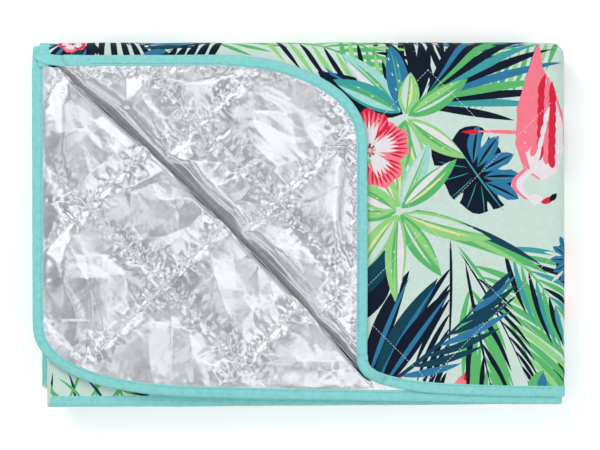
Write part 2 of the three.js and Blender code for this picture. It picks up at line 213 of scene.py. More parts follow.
joints = {j["name"]: j for j in frame["joints"]}
END_Y, FOLD_Z = (joints["end_fold_opens"]["pos_m"][i] / MM for i in (1, 2))
HINGE_X, HINGE_Y = (joints["corner_turns"]["pos_m"][i] / MM for i in (0, 1))
HINGE_V = (HINGE_X + HINGE_Y) / ROOT2
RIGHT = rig.box("upper_quarter1_print_cloth")[1].x / MM
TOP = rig.box("end_fold_quarter1")[1].y / MM
LEFT, BOTTOM = -RIGHT, -TOP
SIDE_X = RIGHT - HALF_STACK / 2 + LAYER_GAP / 2
END_RADIUS = TOP - END_Y
END_ARC = math.pi * END_RADIUS
BACK_Y = 2 * END_Y + END_ARC  # y + b of a point on the lower half
FLAP_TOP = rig.box("turned_corner_edge_binding")[1].y / MM
FLAP_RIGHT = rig.box("turned_corner_edge_binding")[1].x / MM
CREASE_STRIP = 20.3  # along x or y, from the crease to where the flat part of the turned corner begins
FLAP_CUT_V = HINGE_V + CREASE_STRIP / ROOT2
LAYER_ONE_TOP = 15 * PITCH + QUILT
FLAP_LIFT = 1.0  # the soft corner lies this much above layer 1
FLAP_MIDDLE_Z = LAYER_ONE_TOP + LAYER_GAP + FLAP_LIFT + HALF_QUILT

# for each layer: left edge, bottom edge at the left, bottom edge at the right, in from the stack's outline
SET_BACK = dict(enumerate((
    (5.5, 22, 10), (0, 13, 3), (3.5, 12, 3.5), (5, 11, 3), (14, 0, 3), (14, 0.6, 3.5), (13, 0.4, 3), (13, 1, 10),
    (13.5, 10, 10), (13.5, 10, 10), (14.5, 10, 10), (14.5, 10, 10),
    (11.5, 13.5, 13.5), (10, 13.5, 13.5), (8, 13.5, 13.5), (6.5, 13.5, 13.5),
), 1))
LOOP_RADIUS = LAYER_GAP / 2 + QUILT
BOTTOM_LOOP = 2 * PITCH - LAYER_GAP / 2
LAYER_CORNER = (170.0, 70.0, 2.5)  # width, height and power of a free corner's curve
FLAP_CORNER = (150.0, 85.0, 2.2)

FOOT_X, FOOT_RISE, FOOT_WIDTH = 68.0, 11.5, 26.0  # layer 1's bottom edge rises to the foot of the crease
EDGE_START_X = 78.0  # and is free from here

QUILTING_PITCH = 103.0
LAYER_ONE_ROWS = (86.0, 85.5)  # where one row of each direction runs, in (x - y, x + y) / root 2
LAYER_TWO_ROWS = (-49.0, -128.0)
FLAP_ROWS = (-30.0, 2.0)
CREASE_TURN = 0.5  # radians from x to the film's long creases


def free_left(layer):
    return layer <= 4 or layer >= 13


def free_bottom(layer):
    return layer <= 8


# ---- Noise ----


def smooth(t):
    t = np.clip(t, 0, 1)
    return t * t * (3 - 2 * t)


def lattice(x, y, size):
    """The cell of a square lattice that each point lies in, and where in the cell."""
    x, y = np.asarray(x, float) / size, np.asarray(y, float) / size
    i, j = np.floor(x).astype(int), np.floor(y).astype(int)
    return i, j, x - i, y - j


def cell_heights(x, y, size, seed):
    """Random heights from -1 to 1 at the corners of each point's cell, and where in the cell it lies."""
    table = np.random.default_rng(seed).uniform(-1, 1, (64, 64))
    i, j, fx, fy = lattice(x, y, size)
    return [table[(i + p) % 64, (j + q) % 64] for q in (0, 1) for p in (0, 1)] + [fx, fy]


def noise(x, y, size, seed):
    """Smooth noise from -1 to 1 with features of that size."""
    a, b, c, d, fx, fy = cell_heights(x, y, size, seed)
    fx, fy = smooth(fx), smooth(fy)
    return (a * (1 - fx) + b * fx) * (1 - fy) + (c * (1 - fx) + d * fx) * fy


def facets(x, y, size, seed):
    """Flat facets with sharp creases: heights from -1 to 1 at lattice points, joined by triangles."""
    a, b, c, d, fx, fy = cell_heights(x, y, size, seed)
    return np.where(fx + fy < 1, a + fx * (b - a) + fy * (c - a), d + (1 - fx) * (c - d) + (1 - fy) * (b - d))


def bowls(x, y, size, seed):
    """Crumpled facets: shallow bowls round random points, from 0 up to sharp ridges of about 0.5 between them."""
    table = np.random.default_rng(seed).uniform(0.05, 0.95, (64, 64, 2))
    i, j, fx, fy = lattice(x, y, size)
    nearest = np.full(fx.shape, 9.0)
    for p in (-1, 0, 1):
        for q in (-1, 0, 1):
            at = table[(i + p) % 64, (j + q) % 64]
            nearest = np.minimum(nearest, (p + at[..., 0] - fx) ** 2 + (q + at[..., 1] - fy) ** 2)
    return nearest


# ---- Quilted relief ----


def diagonal(x, y):
    """Coordinates along the crease (u) and away from it (v)."""
    return (x - y) / ROOT2, (x + y) / ROOT2


def square(u, v):
    """x and y again."""
    return (u + v) / ROOT2, (v - u) / ROOT2


def row_distance(value, row):
    return np.abs((value - row + QUILTING_PITCH / 2) % QUILTING_PITCH - QUILTING_PITCH / 2)


def puff(x, y, rows, height, width):
    """Height of the wadding between rows of quilting, 0 on the rows."""
    u, v = diagonal(x, y)
    return height * (1 - np.exp(-row_distance(u, rows[0]) / width)) * (1 - np.exp(-row_distance(v, rows[1]) / width))


def foil_relief(x, y, rows, seed):
    """Creased film over quilting: puffed squares, puckers along the rows, and crumpled facets."""
    u, v = diagonal(x, y)
    du, dv = row_distance(u, rows[0]), row_distance(v, rows[1])
    h = puff(x, y, rows, 3.6, 12)
    for d, along, k in ((du, v, 1), (dv, u, 2)):
        near = np.exp(-((d / 11) ** 2))
        h = h + 0.30 * near * (noise(along, d, 4.2, seed + k) + 0.7 * noise(along, d * 0.4, 7.5, seed + 10 + k))
        h = h + 0.22 * np.exp(-((d / 4) ** 2)) * noise(along, d, 3.2, seed + 20 + k)
    warp_x = x + 10 * noise(x, y, 44, seed + 3)
    warp_y = y + 10 * noise(x, y, 44, seed + 4)
    cos, sin = math.cos(CREASE_TURN), math.sin(CREASE_TURN)
    p, q = warp_x * cos + warp_y * sin, warp_y * cos - warp_x * sin
    near = np.exp(-((np.minimum(du, dv) / 17) ** 2))
    broad = facets(p * 0.65, q * 1.25, 43, seed + 5) + 0.5 * facets(-q * 0.55, p * 1.3, 31, seed + 11)
    small = facets(warp_x * 0.8, warp_y * 1.2, 17, seed + 15)
    fine = np.where(du < dv, bowls(u * 0.4, v * 1.3, 12, seed + 6), bowls(v * 0.4, u * 1.3, 12, seed + 14))
    h = h + 1.75 * broad + 0.3 * small * (1 - 0.5 * near) + 1.5 * (1 - 0.7 * near) * bowls(p * 0.6, q, 46, seed + 12)
    return h + 0.8 * fine * near + 0.4 * noise(x, y, 60, seed + 9) - 0.4


def print_relief(x, y, rows, seed):
    """Soft cloth over the same quilting."""
    h = puff(x, y, rows, 2.4, 15)
    u, v = diagonal(x, y)
    for d, along, k in ((row_distance(u, rows[0]), v, 1), (row_distance(v, rows[1]), u, 2)):
        h = h + 0.13 * np.exp(-((d / 9) ** 2)) * noise(along, d * 0.5, 8, seed + k)
    return h + 0.45 * noise(x, y, 70, seed + 3) + 0.12 * noise(x, y * 0.6, 24, seed + 4)


# ---- The folded sheets ----


def quarter_radius(quarter):
    """From the middle of a half of the stack to the middle of that quarter's quilt."""
    return (4 - quarter) * PITCH + LAYER_GAP / 2 + HALF_QUILT


def layers_of(quarter, region):
    """The outer and the inner layer of one quarter of the blanket, in the half of the stack that region lies in."""
    return (17 - quarter, 8 + quarter) if region == "lower" else (quarter, 9 - quarter)


def side_arc(quarter):
    return math.pi * quarter_radius(quarter)


def across(region, quarter, a, h):
    """The stack's section: a runs along the outer layer, round the side fold and back along the inner one, and h
    goes out from the quilt's middle. Gives x and z."""
    out = -1 if region == "lower" else 1
    radius = quarter_radius(quarter)
    a = np.asarray(a, float)
    turn = np.clip((a - SIDE_X) / radius, 0, math.pi)
    lead, tail = np.minimum(a - SIDE_X, 0), np.maximum(a - SIDE_X - side_arc(quarter), 0)
    d = radius + h
    return SIDE_X + lead - tail + d * np.sin(turn), FOLD_Z + out * (HALF_STACK / 2 + d * np.cos(turn))


def place(region, quarter, a, b, h):
    """A point of the sheet: b runs up the upper half, over the end fold and back along the lower half."""
    x, z = across(region, quarter, a, h)
    b = np.asarray(b, float)
    if region == "upper":
        y = b + 0 * x
    elif region == "lower":
        y = BACK_Y - b + 0 * x
    else:
        turn = (b - END_Y) / END_RADIUS
        reach = z - FOLD_Z
        y, z = END_Y + reach * np.sin(turn), FOLD_Z + reach * np.cos(turn)
    return lifted(x, y, z)


def bottom_edge(layer, x):
    left, at_left, at_right = SET_BACK[layer]
    share = np.clip((np.asarray(x, float) - LEFT - left) / (SIDE_X - LEFT - left), 0, 1)
    edge = BOTTOM + at_left + (at_right - at_left) * share
    if layer == 1:
        edge = edge + FOOT_RISE * np.exp(-np.clip(np.asarray(x, float) - FOOT_X, 0, None) / FOOT_WIDTH)
    return edge


def has_corner(layer):
    return free_left(layer) and free_bottom(layer)


def moved_in(layer, inset):
    """x of a layer's left edge and the rise of its bottom edge, moved in by inset, or to the fold if it has one."""
    x0 = LEFT + SET_BACK[layer][0] + (inset if free_left(layer) else LOOP_RADIUS)
    return x0, inset if free_bottom(layer) else BOTTOM_LOOP


def outline(layer, inset):
    """A layer's left and bottom edges, moved in, from the end fold to the side fold."""
    x0, raise_by = moved_in(layer, inset)
    points = [(x0, y) for y in np.linspace(END_Y, BOTTOM + 110, 50)]
    if has_corner(layer):
        wide, high, power = LAYER_CORNER
        wide, high = wide - inset, high - inset
        for turn in np.linspace(0, math.pi / 2, 60):
            x = x0 + wide - wide * math.cos(turn) ** (2 / power)
            y = bottom_edge(layer, x) + inset + high - high * math.sin(turn) ** (2 / power)
            points.append((x, float(y)))
        start = x0 + wide
    else:
        low = float(bottom_edge(layer, x0) + raise_by)
        points += [(x0, y) for y in np.linspace(BOTTOM + 105, low, 24)]
        start = x0
    points += [(x, float(bottom_edge(layer, x) + raise_by)) for x in np.linspace(start, SIDE_X, 80)[1:]]
    return np.array(points)


def corner_share(from_side, from_edge, corner, inset):
    """How far out points lie in a rounded corner: 1 on its curve moved in by inset, 0 beside the corner."""
    wide, high, power = corner
    p = np.clip((wide - from_side) / (wide - inset), 0, None)
    q = np.clip((high - from_edge) / (high - inset), 0, None)
    return np.where((p > 0) & (q > 0), p**power + q**power, 0)


def fade_from(near, from_side, from_edge, corner):
    """0 at the binding, 1 further in, and how far in that is; near is the distance from the straight edges."""
    share = corner_share(from_side, from_edge, corner, BINDING_WIDTH)
    depth = (1 - share ** (1 / corner[2])) * (corner[1] - BINDING_WIDTH)
    near = np.where(share > 0, np.minimum(near, depth), near)
    return smooth((near + 4) / 26), near


def inside(layer, x, y, inset):
    """Whether points of a flat layer lie further than inset inside its free edges."""
    x0, raise_by = moved_in(layer, inset)
    low = bottom_edge(layer, x) + raise_by
    good = (x > x0) & (y > low)
    if has_corner(layer):
        good &= corner_share(x - x0 + inset, y - low + inset, LAYER_CORNER, inset) < 1
    return good


def inner_end(quarter, region):
    """Where the inner layer ends at its left fold, as a value of a."""
    return 2 * SIDE_X + side_arc(quarter) - moved_in(layers_of(quarter, region)[1], SKIN_INSET)[0]


def flat_x(quarter, a):
    """x of a point of the sheet, on whichever leg it lies."""
    return np.where(a <= SIDE_X, a, np.maximum(2 * SIDE_X + side_arc(quarter) - a, -RIGHT))


# ---- Meshes ----


def add_to_scene(name, data):
    obj = bpy.data.objects.new(name, data)
    bpy.context.scene.collection.objects.link(obj)
    return obj


def make_object(name, points, faces, material):
    mesh = bpy.data.meshes.new(name)
    mesh.from_pydata((np.asarray(points) * MM).tolist(), [], [list(f) for f in faces])
    mesh.materials.append(material)
    mesh.polygons.foreach_set("use_smooth", [True] * len(mesh.polygons))
    mesh.update()
    return add_to_scene(name, mesh)


def print_colours(obj, colours):
    """Gives a mesh its printed colours, one for each corner of its faces."""
    attribute = obj.data.color_attributes.new(name="print", type="FLOAT_COLOR", domain="CORNER")
    attribute.data.foreach_set("color", colours.ravel())


def leave_plain(obj):
    print_colours(obj, np.tile((*PALE, 1.0), len(obj.data.loops)))


def grid_object(name, points, material, keep=None, flip=False):
    """A surface from a grid of points, without the cells that keep leaves out."""
    rows, columns = points.shape[:2]
    index = np.arange(rows * columns).reshape(rows, columns)
    quads = np.stack([index[:-1, :-1], index[1:, :-1], index[1:, 1:], index[:-1, 1:]], axis=-1)
    quads = quads[keep] if keep is not None else quads.reshape(-1, 4)
    if flip:
        quads = quads[:, ::-1]
    used, quads = np.unique(quads, return_inverse=True)
    return make_object(name, points.reshape(-1, 3)[used], quads.reshape(-1, 4), material)


def lifted(x, y, z):
    return np.stack([x, y, z], axis=-1)


def area_of(polygon):
    x, y = polygon[:, 0], polygon[:, 1]
    return float((x * np.roll(y, -1) - y * np.roll(x, -1)).sum() / 2)


def within(points, polygon):
    """Which points lie inside a polygon."""
    odd = np.zeros(len(points), bool)
    for p, q in zip(polygon, np.roll(polygon, -1, 0)):
        if p[1] != q[1]:
            crosses = (p[1] > points[:, 1]) != (q[1] > points[:, 1])
            odd ^= crosses & (points[:, 0] < p[0] + (points[:, 1] - p[1]) * (q[0] - p[0]) / (q[1] - p[1]))
    return odd


def cut_to_box(polygon, low, high):
    """The part of a polygon inside a box."""
    points = [tuple(p) for p in polygon]
    for axis, bound, sign in ((0, low[0], 1), (0, high[0], -1), (1, low[1], 1), (1, high[1], -1)):
        kept = []
        for i, p in enumerate(points):
            q = points[i - 1]
            in_p, in_q = sign * (p[axis] - bound) >= 0, sign * (q[axis] - bound) >= 0
            if in_p != in_q:
                t = (bound - q[axis]) / (p[axis] - q[axis])
                kept.append((q[0] + t * (p[0] - q[0]), q[1] + t * (p[1] - q[1])))
            if in_p:
                kept.append(p)
        points = kept
        if len(points) < 3:
            return None
    return np.array(points)


def printed_object(name, domain, shapes, spacing, surface, flip, rows=None):
    """A cloth surface whose colours have true edges: every printed shape's outline is in the mesh."""
    domain = dense(domain, OUTLINE_STEP)
    low, high = domain.min(0), domain.max(0)
    polygons, colours = [domain], [PALE]
    for colour, polygon in shapes:
        box_low, box_high = polygon.min(0), polygon.max(0)
        if (box_low > high).any() or (box_high < low).any():
            continue
        cut = cut_to_box(polygon, low - 3, high + 3)
        if cut is not None and abs(area_of(cut)) > 0.3:
            polygons.append(cut)
            colours.append(colour)
    xs = np.arange(low[0] + spacing / 2, high[0], spacing)
    ys = np.arange(low[1] + spacing / 2, high[1], spacing)
    gx, gy = np.meshgrid(xs, ys)
    gx[::2] += spacing / 2
    points = [np.stack([gx.ravel(), gy.ravel()], 1)]
    if rows is not None:
        u, v = diagonal(gx.ravel(), gy.ravel())
        near = np.minimum(row_distance(u, rows[0]), row_distance(v, rows[1])) < 0.6 * spacing
        points[0] = points[0][~near]
    start, edges = len(points[0]), []
    for polygon in polygons:
        n = len(polygon)
        edges += [(start + k, start + (k + 1) % n) for k in range(n)]
        points.append(polygon)
        start += n
    if rows is not None:
        for axis, row in enumerate(rows):
            reach = np.array(diagonal(domain[:, 0], domain[:, 1]))[axis]
            first = math.ceil((reach.min() - row) / QUILTING_PITCH)
            for i in range(first, int((reach.max() - row) // QUILTING_PITCH) + 1):
                for shift in (-2.2, 0, 2.2):
                    line = row_line(row + i * QUILTING_PITCH + shift, axis, low, high, spacing)
                    if len(line) > 1:
                        edges += [(start + k, start + k + 1) for k in range(len(line) - 1)]
                        points.append(line)
                        start += len(line)
    flat = np.concatenate(points)
    verts, _, triangles, _, _, _ = delaunay_2d_cdt(flat.tolist(), edges, [], 0, 1e-4)
    verts, triangles = np.array([(v[0], v[1]) for v in verts]), np.array([list(t) for t in triangles])
    middle = verts[triangles].mean(1)
    owner = np.full(len(middle), -1)
    for k, polygon in enumerate(polygons):
        near = np.nonzero(((middle > polygon.min(0)) & (middle < polygon.max(0))).all(1))[0]
        if k:
            near = near[owner[near] >= 0]
        owner[near[within(middle[near], polygon)]] = k
    triangles, owner = triangles[owner >= 0], owner[owner >= 0]
    if flip:
        triangles = triangles[:, ::-1]
    used, index = np.unique(triangles, return_inverse=True)
    obj = make_object(name, surface(*verts[used].T), index.reshape(-1, 3), PRINT)
    print_colours(obj, np.repeat([(*colours[k], 1.0) for k in owner], 3, axis=0))
    return obj


def row_line(value, axis, low, high, spacing):
    """Points of one row of quilting inside a box."""
    reach = np.arange(-1500, 1500, spacing)
    u, v = (np.full(reach.shape, value), reach) if axis == 0 else (reach, np.full(reach.shape, value))
    x, y = square(u, v)
    good = (x > low[0] + 1) & (x < high[0] - 1) & (y > low[1] + 1) & (y < high[1] - 1)
    return np.stack([x[good], y[good]], 1)


# ---- Materials ----


def linear(r, g, b):
    channel = lambda c: c / 12.92 if c <= 0.04045 else ((c + 0.055) / 1.055) ** 2.4
    return tuple(channel(c / 255) for c in (r, g, b))


PALE = linear(203, 224, 214)
BLUSH = linear(233, 226, 230)
AQUA = linear(160, 216, 208)
NAVY = linear(2, 18, 40)
DARK_TEAL = linear(4, 64, 82)
BLUE = linear(44, 120, 162)
TEAL = linear(58, 158, 160)
GREEN = linear(90, 182, 108)
LEAF_GREEN = linear(146, 208, 130)
CREAM = linear(226, 224, 160)
ORANGE = linear(236, 160, 96)
PINK = linear(248, 124, 142)
RED = linear(218, 32, 62)
BLACK = linear(8, 12, 24)


class Graph:
    """A node tree, with short calls for the nodes used here. An input's value is a number, a colour or a socket."""

    def __init__(self, tree):
        self.nodes, self.links = tree.nodes, tree.links

    def set(self, node, inputs):
        for key, value in inputs.items():
            if isinstance(value, bpy.types.NodeSocket):
                self.links.new(value, node.inputs[key])
            else:
                node.inputs[key].default_value = value

    def add(self, kind, output, inputs={}, **settings):
        node = self.nodes.new("ShaderNode" + kind)
        for key, value in settings.items():
            setattr(node, key, value)
        self.set(node, inputs)
        return node.outputs[output]

    def texture(self, kind, scale, vector, output="Fac", **inputs):
        return self.add("Tex" + kind, output, {"Scale": scale, "Vector": vector, **inputs})

    def ramp(self, value, low, high, start=0.3, end=0.7):
        limits = {"From Min": start, "From Max": end, "To Min": low, "To Max": high}
        return self.add("MapRange", "Result", {"Value": value, **limits})

    def math(self, operation, a, b):
        return self.add("Math", 0, {0: a, 1: b}, operation=operation)

    def bump(self, height, strength, distance, **more):
        return self.add("Bump", "Normal", {"Strength": strength, "Distance": distance, "Height": height, **more})

    def tinted(self, colour, factor):
        """The colour times a grey factor."""
        grey = self.add("CombineColor", "Color", {"Red": factor, "Green": factor, "Blue": factor})
        inputs = {"Factor": 1.0, "A": (*colour, 1) if isinstance(colour, tuple) else colour, "B": grey}
        return self.add("Mix", "Result", inputs, data_type="RGBA", blend_type="MULTIPLY")

    def weave(self, vector, threads_per_m):
        """Over-and-under threads both ways, as a height."""
        inputs = {"Scale": threads_per_m / 20, "Distortion": 0.6, "Detail": 1.0, "Vector": vector}
        return self.math("ADD", *(self.add("TexWave", "Fac", inputs, bands_direction=axis) for axis in "XY"))


def node_material(name, shade, *values):
    """A material whose shader takes the inputs that shade works out from its graph and object coordinates."""
    material = bpy.data.materials.new(name)
    material.use_nodes = True
    graph = Graph(material.node_tree)
    graph.set(graph.nodes["Principled BSDF"], shade(graph, graph.add("TexCoord", "Object"), *values))
    return material


def cloth(graph, vector, colour, threads_per_m, roughness, variation, bump):
    """Woven cloth; colour None takes the printed colours of the mesh."""
    source = colour or graph.add("Attribute", "Color", attribute_name="print")
    mottle = graph.texture("Noise", 240, vector, Detail=4.0, Roughness=0.6)
    soft = graph.texture("Noise", 60, vector, Detail=2.0)
    threads = graph.bump(graph.weave(vector, threads_per_m), bump, 0.00012)
    return {
        "Base Color": graph.tinted(source, graph.ramp(mottle, 1 - variation, 1 + variation / 3)),
        "Roughness": graph.ramp(soft, roughness - 0.06, roughness + 0.06),
        "Sheen Weight": 0.03, "Specular IOR Level": 0.16,
        "Normal": graph.bump(soft, 0.12, 0.0008, Normal=threads),
    }


def film(graph, vector):
    """Metallised film, bright, with fine crinkles and slightly uneven polish."""
    cloud = graph.texture("Noise", 28, vector, Detail=5.0, Roughness=0.6, Distortion=0.5)
    crinkle = graph.bump(graph.texture("Voronoi", 210, vector, "Distance"), 0.03, 0.0012)
    ripple = graph.texture("Noise", 130, vector, Detail=3.0, Distortion=1.2)
    return {
        "Base Color": graph.tinted(linear(232, 233, 238), graph.ramp(cloud, 0.88, 1.0)),
        "Metallic": 1.0, "Roughness": graph.ramp(cloud, 0.11, 0.22),
        "Normal": graph.bump(ripple, 0.05, 0.0012, Normal=crinkle),
    }


PRINT = node_material("print_cloth", cloth, None, 1700, 0.72, 0.07, 0.25)
BINDING = node_material("edge_binding", cloth, linear(138, 213, 210), 1300, 0.78, 0.12, 0.5)
THREAD = node_material("stitching_thread", cloth, linear(238, 240, 240), 4000, 0.6, 0.1, 0.3)
SEAM_THREAD = node_material("binding_seam_thread", cloth, linear(70, 168, 168), 4000, 0.6, 0.1, 0.3)
FOIL = node_material("foil_backing", film)

# ---- Printed motifs: lists of (colour, outline) in sheet millimetres ----


def polar(length, turn):
    return np.array([length * math.cos(math.radians(turn)), length * math.sin(math.radians(turn))])


def blade(base, turn, length, width, bend=0.0, colour=GREEN, side=0, fullest=0.45):
    """A leaf blade along a bent spine. side 1 or -1 gives only that half."""
    n = 12
    t = np.linspace(0, 1, n)
    angles = np.radians(turn + bend * t)
    steps = np.stack([np.cos(angles), np.sin(angles)], 1) * (length / (n - 1))
    spine = np.array(base) + np.concatenate([[[0, 0]], np.cumsum(steps[:-1], 0)])
    across_spine = np.stack([-np.sin(angles), np.cos(angles)], 1)
    power = math.log(0.5) / math.log(fullest)
    half_width = (width / 2 * np.sin(math.pi * t**power) ** 0.85)[:, None]
    left, right = spine + across_spine * half_width, spine - across_spine * half_width
    if side > 0:
        right = spine
    if side < 0:
        left = spine
    return (colour, np.concatenate([left, right[1:-1][::-1]]))


def adder(shapes):
    """A call that adds one blade to the list."""
    return lambda *sizes, **more: shapes.append(blade(*sizes, **more))


def frond(base, turn, length, count, reach, spread, colours, bend, width, sides=(1, -1)):
    """A palm frond: a bent rib with leaflets that grow shorter and lean forward towards its tip."""
    shapes = []
    point = np.array(base, float)
    for i in range(count + 1):
        t = i / count
        angle = turn + bend * t
        if t >= 0.12:
            leaflet = reach * (0.55 + 0.75 * math.sin(math.pi * min(1, t * 0.85 + 0.1)))
            lean = spread * (1 - 0.55 * t)
            for k, side in enumerate(sides):
                colour = colours[(2 * i + k) % len(colours)]
                shapes.append(blade(point, angle + side * lean, leaflet, width, -side * 16, colour))
        point = point + polar(length / count, angle)
    return shapes + [blade(base, turn, length * 1.03, width * 0.55, bend, colours[0], fullest=0.3)]


def star_leaf(centre, turns, lengths, width, colours):
    """A whorl of pointed leaves with pale variegated flanks."""
    shapes = []
    leaf = adder(shapes)
    for i, (turn, length) in enumerate(zip(turns, lengths)):
        main, flank, stripe = colours[i % len(colours)]
        base = np.array(centre) + polar(2.5, turn)
        leaf(base, turn, length, width, 8, main)
        leaf(base + polar(4, turn), turn + 3, length * 0.86, width * 0.62, 7, flank, side=1)
        leaf(base + polar(6, turn), turn - 2, length * 0.72, width * 0.26, 8, stripe, side=-1)
        leaf(base, turn + 1, length * 0.95, width * 0.07, 8, GREEN)
        for k in range(5):
            speck = base + polar(length * (0.3 + 0.11 * k), turn + 3 + 5 * (-1) ** k)
            leaf(speck, turn + 20, 3.2, 1.3, 0, CREAM if k % 2 else PALE)
    return shapes


def flower(centre, radius, turn):
    """A five-petalled hibiscus with streaked petals."""
    shapes = []
    leaf = adder(shapes)
    centre = np.array(centre, float)
    for k in range(5):
        angle = turn + 72 * k
        petal = []
        for s in np.linspace(-1, 1, 15):
            ripple = 1 + 0.05 * math.sin(9 * s + k)
            petal.append(centre + polar(radius * ripple * (1 - 0.22 * s * s), angle + 41 * s))
        petal.append(centre + polar(radius * 0.10, angle - 60))
        petal.append(centre + polar(radius * 0.10, angle + 60))
        shapes.append((RED if k % 2 else PINK, np.array(petal)))
        for s in np.linspace(-0.9, 0.9, 9):
            main = RED if k % 2 == 0 else PINK
            start = centre + polar(radius * 0.5, angle + 30 * s)
            leaf(start, angle + 38 * s, radius * (0.5 - 0.14 * s * s), 2.2, 0, main)
        for s in np.linspace(-0.75, 0.75, 5):
            start = centre + polar(radius * 0.14, angle + 26 * s)
            leaf(start, angle + 24 * s, radius * 0.6, 3.4, 0, BLUSH)
    for k in range(9):
        dot = centre + polar(radius * 0.09, 40 * k)
        leaf(dot, 40 * k, 3.4, 1.4, 0, NAVY if k % 3 else ORANGE)
    return shapes


def monstera(centre, radius, turn):
    """A split leaf, dark, with blue between the ribs of one half and slots of ground colour."""
    centre = np.array(centre, float)
    tip = centre + polar(radius * 1.12, turn)
    heart = []
    for s in np.linspace(0, 360, 44, endpoint=False):
        away = 0.80 + 0.16 * math.cos(math.radians(2 * s)) - 0.30 * math.exp(-(((s - 180) / 22) ** 2))
        heart.append(centre + polar(radius * away * (1 + 0.035 * math.sin(math.radians(9 * s))), turn + s))
    shapes = [(NAVY, np.array(heart))]
    leaf = adder(shapes)
    for side in (1, -1):
        for k in range(5):
            angle = turn + side * (26 + 27 * k)
            start = centre + polar(radius * (0.30 - 0.07 * k), turn) + polar(radius * 0.10, angle)
            if side > 0:
                leaf(start, angle + 10, radius * 0.74, radius * 0.30, -12, BLUE, fullest=0.55)
                leaf(start, angle + 10, radius * 0.72, radius * 0.05, -12, NAVY)
            if (k + side) % 2:
                slot_start = start + polar(radius * 0.34, angle - side * 14)
                leaf(slot_start, angle - side * 12, radius * 0.66, radius * 0.12, side * 8, PALE)
            leaf(start, angle - side * 3, radius * 0.6, 0.9, side * 10, TEAL)
    base = centre + polar(radius * 0.45, turn + 180)
    leaf(base, turn, float(np.linalg.norm(tip - base)), 1.6, 4, TEAL)
    return shapes


def wader(origin, turn, size):
    """A pink wading bird seen from the side: tail, folded wing in rows of feathers, curved neck, leg and bill."""
    origin = np.array(origin, float)
    rotate = lambda p: origin + polar(p[0] * size, turn) + polar(p[1] * size, turn - 90)
    outline_of = lambda points: np.array([rotate(p) for p in points])
    shapes = []
    leaf = adder(shapes)
    body = [(-0.50, 0.02), (-0.34, 0.12), (-0.12, 0.20), (0.14, 0.21), (0.34, 0.14), (0.42, 0.02)]
    body += [(0.34, -0.12), (0.14, -0.20), (-0.10, -0.17), (-0.32, -0.08)]
    shapes.append((PINK, outline_of(body)))
    shapes.append((BLUSH, outline_of([(x * 0.9 + 0.05, y * 0.8 - 0.03) for x, y in body])))
    shapes.append((PINK, outline_of([(-0.72, 0.03), (-0.40, 0.13), (-0.12, 0.21), (0.0, 0.13), (-0.28, -0.01)])))
    for row, (y, colour) in enumerate(((0.14, PINK), (0.08, PINK), (0.02, RED), (-0.04, PINK), (-0.09, RED))):
        for k in range(7):
            start = rotate((-0.30 + 0.085 * k + 0.03 * row, y))
            leaf(start, turn + 155 + 9 * row, size * 0.19, size * 0.055, -12, colour, fullest=0.35)
    for k in range(4):
        start = rotate((-0.02 + 0.10 * k, -0.02 + 0.02 * k))
        leaf(start, turn + 170, size * 0.15, size * 0.04, -10, BLUSH, fullest=0.35)
    neck = [
        (0.34 + 0.24 * s, 0.09 + 0.10 * math.sin(math.pi * s), 0.055 - 0.02 * s) for s in np.linspace(0, 1, 14)
    ]
    upper = [(x, y + w) for x, y, w in neck]
    lower = [(x, y - w) for x, y, w in neck][::-1]
    shapes.append((PINK, outline_of(upper + lower)))
    inner = [(x, y + w * 0.2) for x, y, w in neck]
    shapes.append((BLUSH, outline_of(inner + lower)))
    leaf(rotate((0.56, 0.10)), turn + 70, size * 0.13, size * 0.085, 25, BLUSH)
    leaf(rotate((0.60, 0.0)), turn + 100, size * 0.13, size * 0.05, 35, RED)
    leaf(rotate((0.585, -0.07)), turn + 130, size * 0.08, size * 0.045, 20, BLACK)
    leaf(rotate((0.05, 0.14)), turn - 92, size * 0.42, size * 0.032, 3, PINK, fullest=0.3)
    leaf(rotate((0.05, 0.50)), turn - 88, size * 0.14, size * 0.036, -4, RED, fullest=0.3)
    return shapes


def moved(shapes, shift, turn, mirror):
    """Shapes turned by that many degrees about the middle of the arrangement, mirrored first or not, and moved."""
    angle = math.radians(turn)
    matrix = np.array([[math.cos(angle), -math.sin(angle)], [math.sin(angle), math.cos(angle)]])
    if mirror:
        matrix = matrix @ np.diag([-1, 1])
    centre = np.array((100.0, 0.0))
    return [(colour, (points - centre) @ matrix.T + centre + np.array(shift, float)) for colour, points in shapes]


